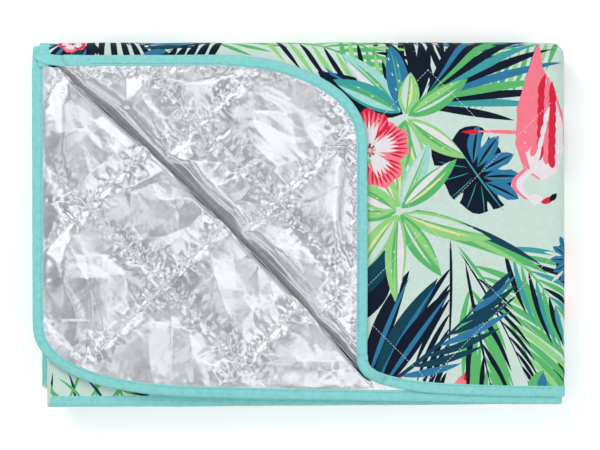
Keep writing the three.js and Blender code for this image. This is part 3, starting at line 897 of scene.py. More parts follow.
def main_artwork():
    """The arrangement on the top layer."""
    shapes = []
    leaf = adder(shapes)
    dark = (NAVY, BLUE, NAVY, DARK_TEAL)
    # leaves behind
    for sizes in (
        ((120, 128), 62, 95, 9, 58, 62, dark, -34, 6.0),
        ((262, 196), 206, 125, 12, 42, 58, (LEAF_GREEN, GREEN, TEAL), 16, 4.4),
        ((-60, 196), -12, 150, 12, 42, 55, (GREEN, LEAF_GREEN, GREEN, NAVY), -24, 4.6),
        ((-62, 186), 196, 66, 6, 34, 60, dark, 10, 7),
        ((30, 190), -30, 80, 8, 36, 58, (GREEN, BLACK, LEAF_GREEN), -20, 4.4),
    ):
        shapes += frond(*sizes)
    for turn, length, colour in ((97, 76, NAVY), (84, 62, NAVY), (75, 58, NAVY), (112, 80, NAVY)):
        leaf((112, 116), turn, length, 9, 10, colour)
    leaf((98, 104), 160, 90, 30, -14, NAVY)
    leaf((98, 108), 157, 84, 17, -12, BLUE, side=1)
    leaf((98, 106), 158, 90, 3, -12, NAVY)
    shapes += monstera((162, 54), 48, -56)
    long_leaves = ((4, 120, TEAL), (9, 134, NAVY), (14, 128, GREEN), (20, 142, BLUE), (26, 138, NAVY), (31, 128, TEAL))
    long_leaves += ((37, 132, NAVY), (44, 124, GREEN), (51, 100, NAVY), (58, 92, BLUE), (65, 84, NAVY), (-4, 96, NAVY))
    for turn, length, colour in long_leaves:
        leaf((108 + turn / 6, 112 + turn / 8), turn, length, 7.5, -9, colour, fullest=0.55)
    # frond down to the right, with dark shadows beside its leaflets
    for sizes in (
        ((148, -18), -52, 150, 12, 74, 42, (GREEN, GREEN, LEAF_GREEN), -16, 6.2, (1,)),
        ((150, -24), -56, 138, 9, 40, 30, (NAVY,), -14, 3.4, (1,)),
        ((142, -12), -88, 126, 9, 58, 44, (NAVY, GREEN, NAVY, NAVY), -8, 5.0, (-1,)),
        ((156, -34), -80, 128, 10, 62, 30, (NAVY, GREEN, GREEN), 4, 5.6, (1, -1)),
        ((176, -10), -34, 92, 9, 58, 44, (GREEN, TEAL, NAVY), -26, 5.0, (1, -1)),
    ):
        shapes += frond(*sizes)
    leaf((96, 10), -14, 150, 20, -18, GREEN, fullest=0.28)
    leaf((110, 12), -14, 130, 7, -20, DARK_TEAL, fullest=0.5)
    leaf((132, 0), -22, 100, 5, -10, LEAF_GREEN)
    # broad dark blades, bottom left of the panel
    for i, (x, turn, length, bend) in enumerate(((62, 76, 116, -16), (70, 66, 120, -14), (76, 60, 118, -10))):
        leaf((x, -150 - 3 * i), turn, length, 19, bend, NAVY if i % 2 == 0 else DARK_TEAL)
        leaf((x + 2, -146 - 3 * i), turn - 1, length * 0.92, 9, bend, BLUE, side=-1)
    shapes += frond((82, -150), 34, 120, 8, 60, 34, (DARK_TEAL, DARK_TEAL, BLUE), bend=18, width=7.0, sides=(-1,))
    leaf((62, -92), 118, 46, 16, 6, DARK_TEAL)
    leaf((84, -40), -118, 54, 22, 8, NAVY)
    leaf((90, -20), -128, 60, 18, 12, DARK_TEAL)
    # whorls and flower in front
    green_set = ((LEAF_GREEN, PALE, CREAM), (GREEN, LEAF_GREEN, PALE), (LEAF_GREEN, BLUSH, GREEN))
    pale_set = ((LEAF_GREEN, BLUSH, CREAM), (AQUA, PALE, LEAF_GREEN), (GREEN, BLUSH, CREAM))
    blue_set = ((AQUA, BLUSH, GREEN), (TEAL, AQUA, GREEN), (BLUE, BLUE, TEAL))
    shapes += star_leaf((97, 104), (131, 150, 96), (78, 70, 66), 21, blue_set)
    shapes += star_leaf((100, 101), (80, 28, -38, -78, -100), (40, 66, 66, 62, 60), 20, green_set)
    shapes += star_leaf((94, 14), (92, 62, 38, 118), (62, 66, 70, 54), 19, pale_set)
    shapes += star_leaf((94, 12), (-20, -60, -96, -128, 176, 148), (88, 70, 82, 74, 52, 50), 20, green_set)
    shapes += flower((66, 70), 38, 18)
    # bird at the right
    shapes += wader((228, 92), -91, 118)
    # small leaves at the edges
    shapes += monstera((258, -36), 26, 96)
    leaf((216, -158), 62, 26, 12, -10, GREEN)
    leaf((226, -158), 74, 20, 9, 16, BLUE)
    shapes += flower((-213, 176), 14, 40)
    leaf((-189, 160), 96, 14, 5, 10, NAVY)
    return shapes


def lower_artwork():
    """A small spray on the inner layer of quarter 4, which shows beside layer 2's rounded corner."""
    shapes = []
    leaf = adder(shapes)
    for k in range(12):
        x, turn = -236 + 6.5 * k, 70 + 37 * (k % 3) - 3 * k
        leaf((x, -164), turn, 26 + 5 * (k % 4), 2.8, 22, GREEN if k % 4 else DARK_TEAL, fullest=0.35)
    for x, turn in ((-150, 150), (-140, 158), (-120, 14), (-96, 10), (-70, 12), (-30, 9)):
        leaf((x, -160), turn, 30, 8, 6, GREEN if x % 4 else NAVY)
    around = 2 * SIDE_X + side_arc(4)
    return [(colour, np.stack([around - points[:, 0], points[:, 1]], 1)) for colour, points in shapes]


MAIN = main_artwork()
PLAIN = [shape for shape in MAIN if abs(area_of(shape[1])) > 40]  # without the small details
ARTWORK = []
for copy in (
    ((-330, 34), 180, False), ((-40, 366), 178, True), ((175, 358), 4, False), ((395, -20), 172, True),
    ((395, 352), 186, False),
    ((600, 6), 8, False), ((610, 372), 174, True), ((-150, 372), 10, False), ((-330, 360), 184, True),
):
    ARTWORK += moved(PLAIN, *copy)
ARTWORK += MAIN

# ---- Quilt skins ----


def top_mask(x, y):
    """1 on layer 1 where nothing lies on it, 0 under the turned corner."""
    return smooth((flap_depth(x, y) - 2) / -14)


def flap_depth(x, y):
    """How far a point is inside the turned corner's outline, roughly; negative outside it."""
    return np.minimum(FLAP_RIGHT - x, FLAP_TOP - y)


def crease_v(u):
    """Where the turned corner's crease lies; it bows a little."""
    return HINGE_V + 1.6 + 7.2 * np.clip(1 - ((u + 58) / 212) ** 2, 0, 1)


def free_faces(quarter, region, face):
    """Relief of one face of a quarter's sheet as a function of a and b, outwards from the quilt."""

    def relief(a, b):
        gap = LAYER_GAP * 0.3 * noise(a, b, 30, 7 * quarter)
        on_outer = smooth((SIDE_X + 6 - a) / 8)
        if quarter == 1 and face == "print" and region != "lower":
            high = print_relief(a, b, LAYER_ONE_ROWS, 40)
            high = high * smooth((END_Y + 0.75 * END_ARC - b) / (0.6 * END_ARC))  # flat where it meets the floor
            return gap + on_outer * top_mask(a, np.minimum(b, END_Y + 40)) * edge_fade(1, a, b, region) * high
        if quarter == 2 and face == "foil" and region == "upper":
            u, v = diagonal(a, b)
            shown = smooth((crease_v(u) - v + 0.2) / 4.5) * on_outer
            high = edge_fade(2, a, b, region) * foil_relief(a, b, LAYER_TWO_ROWS, 60) + edge_gather(a, b)
            return gap + shown * high
        return gap

    return relief


def edge_fade(layer, a, b, region):
    """0 at the binding, 1 further in."""
    from_side = a - LEFT - SET_BACK[layer][0]
    if region != "upper":
        return smooth((from_side - BINDING_WIDTH + 4) / 26)
    from_edge = b - bottom_edge(layer, a)
    near = np.minimum(from_side, from_edge) - BINDING_WIDTH
    return smooth((near + 4) / 26) if layer == 1 else fade_from(near, from_side, from_edge, LAYER_CORNER)[0]


def edge_gather(a, b):
    """Small gathers of the film along layer 2's bound edge."""
    near = a - LEFT - BINDING_WIDTH
    low = b - bottom_edge(2, a) - BINDING_WIDTH
    along_left = np.exp(-np.clip(near, 0, None) / 7) * noise(b, near * 0.3, 5.5, 91) * smooth((near - 1) / 5)
    along_low = np.exp(-np.clip(low, 0, None) / 8) * noise(a, low * 0.3, 6.5, 92) * smooth((low - 1) / 5)
    return 0.45 * (along_left + along_low) * smooth(low / 5) * smooth(near / 5)


EXPOSED_TO = 86.0  # layer 2's film shows up to here; it is a piece of its own, as it flattens under the closed corner
OUTLINE_STEP = 9.0  # points along a printed piece's outline are no further apart

SHEETS = {}  # piece: flat width, flat length, flat area, in millimetres
pieces = {}


def stem_of(region, quarter):
    return f"end_fold_quarter{quarter}" if region == "end" else f"{region}_quarter{quarter}"


def skin(region, quarter, face):
    """One face of a quarter of the blanket, in one half of the stack or over its end fold."""
    outer_layer, inner_layer = layers_of(quarter, region)
    side = 1 if (face == "print") == (quarter % 2 == 1) else -1  # 1 outwards
    relief = free_faces(quarter, region, face)
    name = f"{stem_of(region, quarter)}_{face}"
    a_end = inner_end(quarter, region)

    def surface(a, b):
        return place(region, quarter, a, b, side * (HALF_QUILT - FACE_DEPTH + relief(a, b)))

    if region == "end":
        x0 = LEFT + SET_BACK[quarter][0] + SKIN_INSET
        domain = np.array([(x0, END_Y), (a_end, END_Y), (a_end, END_Y + END_ARC), (x0, END_Y + END_ARC)])
    else:
        outer = outline(outer_layer, SKIN_INSET)
        inner_bottom = moved_in(inner_layer, SKIN_INSET)[1]
        xs = np.linspace(SIDE_X, 2 * SIDE_X + side_arc(quarter) - a_end, 40)
        inner = [(2 * SIDE_X + side_arc(quarter) - x, bottom_edge(inner_layer, x) + inner_bottom) for x in xs]
        domain = np.concatenate([outer, np.array(inner, float), [(a_end, END_Y)]])
        if region == "upper" and quarter == 1:
            u, v = diagonal(domain[:, 0], domain[:, 1])
            domain = domain[v > FLAP_CUT_V + 0.5]
            beside = FLAP_RIGHT - 7
            first = [(ROOT2 * FLAP_CUT_V - END_Y, END_Y), (beside, ROOT2 * FLAP_CUT_V - beside)]
            first += [(beside, ROOT2 * (HINGE_V + 6.8) - beside)]
            first += [(EDGE_START_X, bottom_edge(1, EDGE_START_X) + SKIN_INSET)]
            domain = np.concatenate([first, domain[domain[:, 0] > EDGE_START_X + 1]])
        if region == "lower":
            domain[:, 1] = BACK_Y - domain[:, 1]
    if face == "print":
        shapes = ARTWORK if quarter == 1 else lower_artwork() if (region, quarter) == ("upper", 4) else []
        rows = LAYER_ONE_ROWS if (region, quarter) == ("upper", 1) else None
        obj = printed_object(name, domain, shapes, 6.5 if quarter == 1 else 16, surface, side < 0, rows)
    else:
        obj = foil_grid(name, region, quarter, domain, surface, side)
    width = float(np.ptp(domain[:, 0]))
    if region == "end":
        SHEETS[obj] = (width, math.pi * HALF_STACK / 2, None)
    elif (region, quarter, face) == ("upper", 2, "foil"):
        top = foil_grid(name + "_exposed", region, quarter, domain, surface, side)
        tall = float(np.ptp(domain[:, 1]))
        SHEETS[top] = (EXPOSED_TO - float(domain[:, 0].min()), tall, None)
        SHEETS[obj] = (float(domain[:, 0].max()) - EXPOSED_TO, tall, None)
        pieces[region, quarter, "exposed"] = top
    else:
        SHEETS[obj] = (width, float(np.ptp(domain[:, 1])), abs(area_of(domain)))
    return obj


def dense(polygon, spacing):
    """A polygon again with points no further apart than spacing."""
    points = []
    for i, p in enumerate(polygon):
        q = polygon[(i + 1) % len(polygon)]
        n = max(1, math.ceil(np.linalg.norm(q - p) / spacing))
        points += [p + (q - p) * k / n for k in range(n)]
    return np.array(points)


def foil_grid(name, region, quarter, domain, surface, side):
    outer_layer, inner_layer = layers_of(quarter, region)
    low, high = domain.min(0), domain.max(0)
    if quarter == 2 and region == "upper":
        a = np.append(np.arange(low[0], EXPOSED_TO, 1.25), EXPOSED_TO)
        if name.endswith("foil"):
            a = np.append(np.arange(EXPOSED_TO, high[0], 7.0), high[0])
        b = np.append(np.arange(low[1], high[1], 1.25), high[1])
    else:
        a = np.unique(np.append(np.arange(low[0], high[0], 9.0), [SIDE_X, high[0]]))
        a = np.unique(np.append(a, SIDE_X + np.linspace(0, side_arc(quarter), 9)))
        b = np.linspace(low[1], high[1], 22 if region == "end" else 60)
    grid_a, grid_b = np.meshgrid(a, b, indexing="ij")
    mid_a, mid_b = (grid_a[:-1, :-1] + grid_a[1:, 1:]) / 2, (grid_b[:-1, :-1] + grid_b[1:, 1:]) / 2
    keep = np.ones(mid_a.shape, bool)
    if region != "end":
        y = mid_b if region == "upper" else BACK_Y - mid_b
        x = flat_x(quarter, mid_a)
        on_outer = mid_a < SIDE_X + side_arc(quarter) / 2
        keep = np.where(on_outer, inside(outer_layer, x, y, SKIN_INSET - 1), inside(inner_layer, x, y, SKIN_INSET - 1))
        if quarter == 1 and region == "upper":
            keep &= ~on_outer | (diagonal(x, y)[1] > FLAP_CUT_V)
    return grid_object(name, surface(grid_a, grid_b), FOIL, keep, side > 0)


# ---- Bindings ----


def tape_profile(top_rise, under_rise):
    """Points of folded tape across its width: (distance in from the edge, height)."""
    up, down = HALF_QUILT + top_rise, HALF_QUILT + under_rise
    half = [(10.4, up - 0.5), (10.0, up - 0.05), (9.2, up + 0.02), (7.6, up - 0.1), (5.0, up + 0.12), (2.2, up + 0.1)]
    half += [(0.9, up - 0.25), (0.25, up * 0.6), (0.0, 0.0)]
    under = [(t, -h * down / up) for t, h in half[:-1]][::-1]
    return half + under


def to_the_left(path):
    """The unit direction to the left of travel, at each point of a path."""
    step = np.gradient(path, axis=0)
    step /= np.maximum(np.linalg.norm(step, axis=1), 1e-9)[:, None]
    return np.stack([-step[:, 1], step[:, 0]], 1)


def sweep_tape(name, path, profile, locate, waver, seed):
    """Folded tape along a path of (a, b), with its open side to the left of travel."""
    path = np.array(path, float)
    inward = to_the_left(path)
    along = np.concatenate([[0], np.cumsum(np.linalg.norm(np.diff(path, axis=0), axis=1))])
    rows = []
    for t, h in profile:
        shift = t + waver * noise(along, 0 * along, 55, seed) + 0.12 * noise(along, 0 * along + t, 6, seed + 1)
        at = path + inward * shift[:, None]
        rise = h * (1 + 0.05 * noise(along, 0 * along + 3 * t, 9, seed + 2))
        rows.append(locate(at[:, 0], at[:, 1], rise))
    return grid_object(name, np.array(rows), BINDING)


def bound_edge(region, quarter):
    """The tape round a quarter's free edges in one half of the stack."""
    outer_layer, inner_layer = layers_of(quarter, region)
    path = [tuple(p) for p in outline(outer_layer, 0)]
    if region == "upper":
        if quarter == 1:
            path = [p for p in path if p[0] > FLAP_RIGHT + 8 and p[1] < BOTTOM + 60]
        xs = np.linspace(SIDE_X, LEFT + SET_BACK[inner_layer][0] + LOOP_RADIUS, 90)
        arc = side_arc(quarter)
        mean = float(bottom_edge(inner_layer, SIDE_X))
        path += [(SIDE_X + arc * k / 12, mean) for k in range(1, 12)]
        path += [(2 * SIDE_X + arc - x, float(bottom_edge(inner_layer, x))) for x in xs]
    else:
        x0 = LEFT + SET_BACK[outer_layer][0]
        low = BOTTOM + SET_BACK[outer_layer][1] + BOTTOM_LOOP
        path = [(x0, y) for y in np.linspace(END_Y, low, 60)]
    rise = {("upper", 2): 0.35, ("upper", 1): 0.3}.get((region, quarter), 0.06)
    profile = tape_profile(rise, 0.06)

    def locate(a, y, h):
        b = y if region == "upper" else BACK_Y - y
        return place(region, quarter, a, b, h)

    return sweep_tape(f"{stem_of(region, quarter)}_binding", path, profile, locate, 0.45, 11 * quarter + 3)


def turn_up_to_corner():
    """From the turned corner's right edge round the end of the crease to layer 1's bottom edge."""
    x = FLAP_RIGHT - np.array([10.1, 9.9, 7.7, 3.0, -4.0, -13.0])
    y = np.array([-122, -129, -135.5, -141.5, -146, -149.6])
    t = np.linspace(0, 5, 26)
    return list(zip(np.interp(t, range(6), x), np.interp(t, range(6), y)))


def crease_end_tape():
    def locate(x, y, h):
        point = place("upper", 1, x, y, h)
        point[..., 2] += smooth((y + 150.5) / 13) * (FLAP_MIDDLE_Z - LAYER_ONE_TOP + HALF_QUILT + 0.25)
        return point

    return sweep_tape("crease_end_binding", turn_up_to_corner(), tape_profile(0.3, 0.06), locate, 0.0, 14)


def side_fold_end(quarter):
    """The turned-in lower edge of one quarter where it goes round the side fold of the lower half."""
    a = SIDE_X + np.linspace(-3, side_arc(quarter) + 3, 30)
    y = float(bottom_edge(layers_of(quarter, "lower")[0], SIDE_X)) + BOTTOM_LOOP
    rows = []
    for turn in np.linspace(-math.pi / 2, math.pi / 2, 9):
        b = BACK_Y - y + 1.5 * math.cos(turn) + 0 * a
        rows.append(place("lower", quarter, a, b, HALF_QUILT * math.sin(turn) + 0 * a))
    return grid_object(f"side_fold_end_quarter{quarter}", np.array(rows), PRINT)


def end_tape(quarter):
    x0 = LEFT + SET_BACK[quarter][0]
    path = [(x0, b) for b in np.linspace(END_Y + END_ARC, END_Y, 40)]
    locate = lambda a, b, h: place("end", quarter, a, b, h)
    return sweep_tape(f"end_fold_quarter{quarter}_binding", path, tape_profile(0.06, 0.06), locate, 0.0, 5)


# ---- Folds at the left and bottom edges ----


def fold_section(inner, outer):
    """A half ring of (out, up), outside and back along the inside."""
    turns = np.linspace(-math.pi / 2, math.pi / 2, 14)
    out = [(outer * math.cos(t), outer * math.sin(t)) for t in turns]
    back = [(inner * math.cos(t), inner * math.sin(t)) for t in turns[::-1]]
    return out + back


def fold_object(name, section, start, end, outward, material):
    """A folded edge: a section (out, up) carried from start to end, with soft ripples along it."""
    start, end, outward = np.array(start, float), np.array(end, float), np.array(outward, float)
    n = 70
    rows = []
    for out, up in section + section[:1]:
        t = np.linspace(0, 1, n)[:, None]
        line = start + (end - start) * t
        ripple = 0.25 * noise(t[:, 0] * 480, np.full(n, 2.0 * up), 26, len(name))
        point = line + outward * (out + np.sign(out) * ripple * (abs(out) > 0.3))[:, None]
        point[:, 2] += up
        rows.append(point)
    points = np.array(rows)
    partner = [len(section) - 1 - i for i in range(len(section))] + [len(section) - 1]
    middle = (points + points[partner]) / 2
    return grid_object(name, np.concatenate([middle[:, :1], points, middle[:, -1:]], axis=1), material)


# ---- The turned corner ----


def flap_outline_points():
    """The turned corner's free edges from the crease at the top left round to the crease at the lower right."""
    wide, high, power = FLAP_CORNER
    start = ROOT2 * FLAP_CUT_V - FLAP_TOP
    points = [(x, FLAP_TOP) for x in np.linspace(start, FLAP_RIGHT - wide, 50)]
    for turn in np.linspace(0, math.pi / 2, 70)[1:]:
        x = FLAP_RIGHT - wide + wide * math.sin(turn) ** (2 / power)
        points.append((x, FLAP_TOP - high + high * math.cos(turn) ** (2 / power)))
    end = ROOT2 * FLAP_CUT_V - FLAP_RIGHT
    points += [(FLAP_RIGHT, y) for y in np.linspace(FLAP_TOP - high, end, 60)[1:]]
    return np.array(points)


def inside_flap(x, y, inset):
    good = (x < FLAP_RIGHT - inset) & (y < FLAP_TOP - inset)
    return good & (corner_share(FLAP_RIGHT - x, FLAP_TOP - y, FLAP_CORNER, inset) < 1)


def flap_edge_fade(x, y):
    near = np.minimum(FLAP_RIGHT - x, FLAP_TOP - y) - BINDING_WIDTH
    return fade_from(near, FLAP_RIGHT - x, FLAP_TOP - y, FLAP_CORNER)


SHOULDER_WIDTH = 14.0  # over which the corner rises from its crease
CREASE_Z = 44.9
FILM_GRID = 1.15


def flap_flat_z(x, y):
    fade, near = flap_edge_fade(x, y)
    gather = 0.4 * np.exp(-np.clip(near, 0, None) / 7) * noise(x + y, x - y, 5.0, 77)
    u, v = diagonal(x, y)
    fade = fade * (0.12 + 0.88 * smooth((v - crease_v(u) - 3) / 18))  # the roll stretches the film smooth
    return FLAP_MIDDLE_Z + HALF_QUILT - FACE_DEPTH + fade * foil_relief(x, y, FLAP_ROWS, 120) + gather


def flap_top_z(x, y):
    u, v = diagonal(x, y)
    share = np.clip((v - crease_v(u)) / SHOULDER_WIDTH, 0, 1)
    flat = flap_flat_z(x, y)
    return flat - (flat - CREASE_Z) * (1 - share) ** 2


def flap_place(x, y):
    return lifted(x, y, flap_top_z(x, y))


def flap_foil():
    u = np.arange(-272, 152, FILM_GRID)
    v = np.concatenate([[FLAP_CUT_V], np.arange(FLAP_CUT_V + FILM_GRID, 132, FILM_GRID)])
    grid_u, grid_v = np.meshgrid(u, v, indexing="ij")
    x, y = square(grid_u, grid_v)
    mid_x, mid_y = (x[:-1, :-1] + x[1:, 1:]) / 2, (y[:-1, :-1] + y[1:, 1:]) / 2
    return grid_object("turned_corner_foil", flap_place(x, y), FOIL, inside_flap(mid_x, mid_y, SKIN_INSET - 1))


def flap_under_z(x, y):
    fade, _ = flap_edge_fade(x, y)
    flat = FLAP_MIDDLE_Z - HALF_QUILT + FACE_DEPTH - 0.3 * fade * puff(x, y, FLAP_ROWS, 2.4, 15)
    return np.minimum(flat, flap_top_z(x, y) - 0.8)


def flap_print():
    points = flap_outline_points()
    centre = points.mean(0)
    domain = points + (centre - points) * (SKIN_INSET / np.linalg.norm(centre - points, axis=1))[:, None]
    v = diagonal(domain[:, 0], domain[:, 1])[1]
    domain = domain[v > FLAP_CUT_V + 0.6]
    ends = [(ROOT2 * FLAP_CUT_V - FLAP_TOP + SKIN_INSET, FLAP_TOP - SKIN_INSET)]
    low = ROOT2 * FLAP_CUT_V - FLAP_RIGHT + SKIN_INSET
    domain = np.concatenate([ends, domain, [(FLAP_RIGHT - SKIN_INSET, low)]])
    # the print continues over the crease, so it is layer 1's, reflected about the line the corner turns on
    shapes = []
    for colour, points in ARTWORK:
        u, v = diagonal(points[:, 0], points[:, 1])
        shapes.append((colour, np.stack(square(u, 2 * HINGE_V - v), 1)))
    surface = lambda x, y: lifted(x, y, flap_under_z(x, y))
    return printed_object("turned_corner_print", domain, shapes, 8, surface, True)


def flap_tape():
    path = flap_outline_points()[::-1]
    path = path[path[:, 1] > ROOT2 * FLAP_CUT_V - FLAP_RIGHT]

    def locate(x, y, h):
        base = np.minimum(FLAP_MIDDLE_Z, flap_top_z(x, y) + FACE_DEPTH - HALF_QUILT)
        return lifted(x, y, base + h)

    return sweep_tape("turned_corner_binding", path, tape_profile(0.45, 0.1), locate, 0.35, 31)


def roll_ends(v, level):
    """Where a row of the roll ends along u: level 0 is layer 1's edge, level 1 the turned corner's."""
    high = low = ROOT2 * (FLAP_RIGHT - ROLL_INSET) - v
    for _ in range(12):
        low = v - ROOT2 * (bottom_edge(1, (low + v) / ROOT2) + ROLL_INSET)
    return v - ROOT2 * (FLAP_TOP - ROLL_INSET), high * level + low * (1 - level)


def roll_rows(u):
    """The outside of the roll, from under layer 1 round to the corner's upper face: rows of level, v and z."""
    base = crease_v(u)
    bottom = LAYER_ONE_TOP - QUILT + 0.1
    rows = [(0.0, FLAP_CUT_V + 0 * u, bottom + 0 * u), (0.0, (FLAP_CUT_V + base) / 2 + 1.3, bottom + 0 * u)]
    for turn in np.linspace(math.pi / 2, 0, 7)[:-1]:
        level = 0.75 * (1 - turn / (math.pi / 2))
        rows.append((level, base + 2.6 * (1 - math.cos(turn)), CREASE_Z - (CREASE_Z - bottom) * math.sin(turn) + 0 * u))
    for step in np.linspace(0, 1, 14):
        share = step * (FLAP_CUT_V - base) / SHOULDER_WIDTH
        v = base + SHOULDER_WIDTH * share
        at = FLAP_CUT_V - (FLAP_CUT_V - v) * 1.2
        flat = flap_flat_z(*square(u, at)) * (1 - step) + flap_flat_z(*square(u, FLAP_CUT_V)) * step
        rows.append((min(1.0, 0.75 + step), v, flat - (flat - CREASE_Z) * (1 - share) ** 2))
    return rows


def roll_skin(name, rows):
    t = np.linspace(0, 1, 280)
    points = []
    for k in range(len(roll_rows(t)))[rows]:
        u = -260 + 400 * t
        for _ in range(3):
            level, v, z = roll_rows(u)[k]
            low, high = roll_ends(v, level)
            u = low + (high - low) * t
        points.append(lifted(*square(u, v), z))
    return grid_object(name, np.array(points), FOIL)


def roll_inside():
    """The printed face inside the roll."""
    t = np.linspace(0, 1, 60)
    low = LAYER_ONE_TOP - FACE_DEPTH
    points = []
    for level, step in [(0, 1), (0, 0.5), (0, 0.15), (0, 0), (1, 0), (1, 0.15), (1, 0.4), (1, 0.7), (1, 1)]:
        ends = roll_ends(np.array(HINGE_V + 6), level)
        u = ends[0] + (ends[1] - ends[0]) * t
        base = crease_v(u) + 3.6
        v = base + (FLAP_CUT_V - base) * step
        high = flap_under_z(*square(u, v))
        z = np.maximum(low + 0.38 + 0 * u, high) if level else low + 0.3 * (step < 0.4) + 0 * u
        points.append(lifted(*square(u, v), z))
    obj = grid_object("crease_roll_print", np.array(points), PRINT, flip=True)
    leave_plain(obj)
    return obj


def corner_stub():
    """The binding where layer 1's edge comes out from under the turned corner at the upper left."""
    path = [(-205, FLAP_TOP - 0.4), (-216, FLAP_TOP - 0.4), (-224, FLAP_TOP - 0.2), (-231, FLAP_TOP + 0.6)]
    path += [(-236, FLAP_TOP + 1.8), (-239.6, FLAP_TOP + 3.4), (-242, FLAP_TOP + 5.4)]
    path = np.array(path)
    fine = np.linspace(0, len(path) - 1, 40)
    path = np.stack([np.interp(fine, range(len(path)), path[:, k]) for k in (0, 1)], 1)
    drop = lambda x: 0.9 - 2.6 * smooth((x + 228) / -18)

    def locate(x, y, h):
        z = place("end", 1, x, END_Y + END_RADIUS * np.arcsin(np.clip((y - END_Y) / (TOP - END_Y), 0, 1)), 0.0)[..., 2]
        return lifted(x, y, z + 1.9 + 0.8 * drop(x) + h)

    return sweep_tape("corner_stub_binding", path, tape_profile(0.2, 0.1), locate, 0.2, 41)


# ---- Stitches ----


def stitch_object(name, lines, locate, material, pitch, length, width, height):
    """Short raised stitches along lines of (x, y)."""
    ring = [(-0.5, 0, 0), (-0.3, 0.5, 0), (0.3, 0.5, 0), (0.5, 0, 0), (0.3, -0.5, 0), (-0.3, -0.5, 0)]
    crown = [(-0.25, 0.16, 1), (0.25, 0.16, 1), (0.25, -0.16, 1), (-0.25, -0.16, 1)]
    pattern = np.array(ring + crown)
    faces = [(0, 1, 6), (1, 2, 7, 6), (2, 3, 7), (3, 4, 8), (4, 5, 9, 8), (5, 0, 9), (3, 8, 7), (0, 6, 9)]
    faces += [(6, 7, 8, 9), (5, 4, 3, 2, 1, 0)]
    points, all_faces = [], []
    rng = np.random.default_rng(5)
    for line in lines:
        line = np.array(line, float)
        gaps = np.linalg.norm(np.diff(line, axis=0), axis=1)
        along = np.concatenate([[0], np.cumsum(gaps)])
        for s in np.arange(pitch, along[-1] - pitch / 2, pitch):
            here = np.array([np.interp(s, along, line[:, k]) for k in (0, 1)])
            ahead = np.array([np.interp(s + 1, along, line[:, k]) for k in (0, 1)])
            step = (ahead - here) / max(np.linalg.norm(ahead - here), 1e-9)
            side = np.array([-step[1], step[0]])
            here = here + side * rng.uniform(-0.12, 0.12)
            flat = here + np.outer(pattern[:, 0] * length, step) + np.outer(pattern[:, 1] * width, side)
            placed = locate(flat[:, 0], flat[:, 1])
            placed[:, 2] += pattern[:, 2] * height - 0.05
            start = len(points) * len(pattern)
            points.append(placed)
            all_faces += [tuple(start + i for i in face) for face in faces]
    return make_object(name, np.concatenate(points), all_faces, material)


def rows_inside(rows, test, low, high):
    """The rows of quilting, cut to where test holds."""
    lines = []
    for axis, row in enumerate(rows):
        for i in range(-8, 9):
            line = row_line(row + i * QUILTING_PITCH, axis, np.array(low), np.array(high), 2.0)
            if len(line) < 3:
                continue
            run = []
            for point, keep in zip(line, [*test(line[:, 0], line[:, 1]), False]):
                if keep:
                    run.append(point)
                    continue
                if len(run) > 3:
                    lines.append(run)
                run = []
    return lines


# ---- Build ----

for quarter in (1, 2, 3, 4):
    for region in ("upper", "lower", "end"):
        for face in ("print", "foil"):
            pieces[region, quarter, face] = skin(region, quarter, face)
    for region in ("upper", "lower"):
        pieces[region, quarter, "tape"] = bound_edge(region, quarter)
    pieces["end", quarter, "tape"] = end_tape(quarter)

BODY = {"upper": "upper_half", "lower": "lower_half"}
SLOT = {"print": "print_cloth", "foil": "foil_backing", "exposed": "foil_backing", "tape": "edge_binding"}


def settle(obj, body, slot, *nodes):
    """Puts a piece on a body, or leaves it to be blended, and says its slot and the CAD nodes that it stands for."""
    if body:
        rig.ride(obj, body)
    if nodes:
        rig.replaces(obj, *nodes)
    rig.slot(obj, slot)
    return obj


def blend_over(obj, bodies, z, reach):
    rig.blend(obj, *bodies, start=(0, 0, (z - reach) * MM), end=(0, 0, (z + reach) * MM))


for (region, quarter, kind), obj in pieces.items():
    stem = stem_of(region, quarter)
    if region == "end":
        blend_over(obj, ("lower_half", "upper_half"), FOLD_Z, LOOP_RADIUS)
        whole = "print" if quarter % 2 else "foil"  # the face outside
        nodes = {"tape": [f"{stem}_binding"], whole: [stem]}.get(kind, [])
    else:
        nodes = {
            "tape": [f"{stem}_edge_binding"],
            "print": [f"{stem}_print_cloth", f"{stem}_wadding"],
            "foil": [f"{stem}_foil_backing"],
        }.get(kind, [])
    settle(obj, BODY.get(region), SLOT[kind], *nodes)

for above in (5, 7, 9, 11):
    left, low, _ = SET_BACK[above]
    z = (16 - above) * PITCH - LAYER_GAP / 2
    bottom = BOTTOM + low + (0.5 if free_bottom(above) else 2 * PITCH)
    x = LEFT + left + LOOP_RADIUS
    section = fold_section(0.15, LOOP_RADIUS)
    obj = fold_object(f"left_fold_{above}", section, (x, bottom, z), (x, END_Y, z), (-1, 0, 0), PRINT)
    body = "upper_half" if above < 9 else "lower_half"
    leave_plain(settle(obj, body, "print_cloth", f"left_fold_layers_{above}_{above + 1}"))

for quarter in (1, 2, 3, 4):
    leave_plain(settle(side_fold_end(quarter), "lower_half", "print_cloth"))

crease_end = settle(crease_end_tape(), None, "edge_binding")
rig.blend(crease_end, "upper_half", "turned_corner", start=(0.0745, -0.1495, 0.047), end=(0.056, -0.127, 0.047))

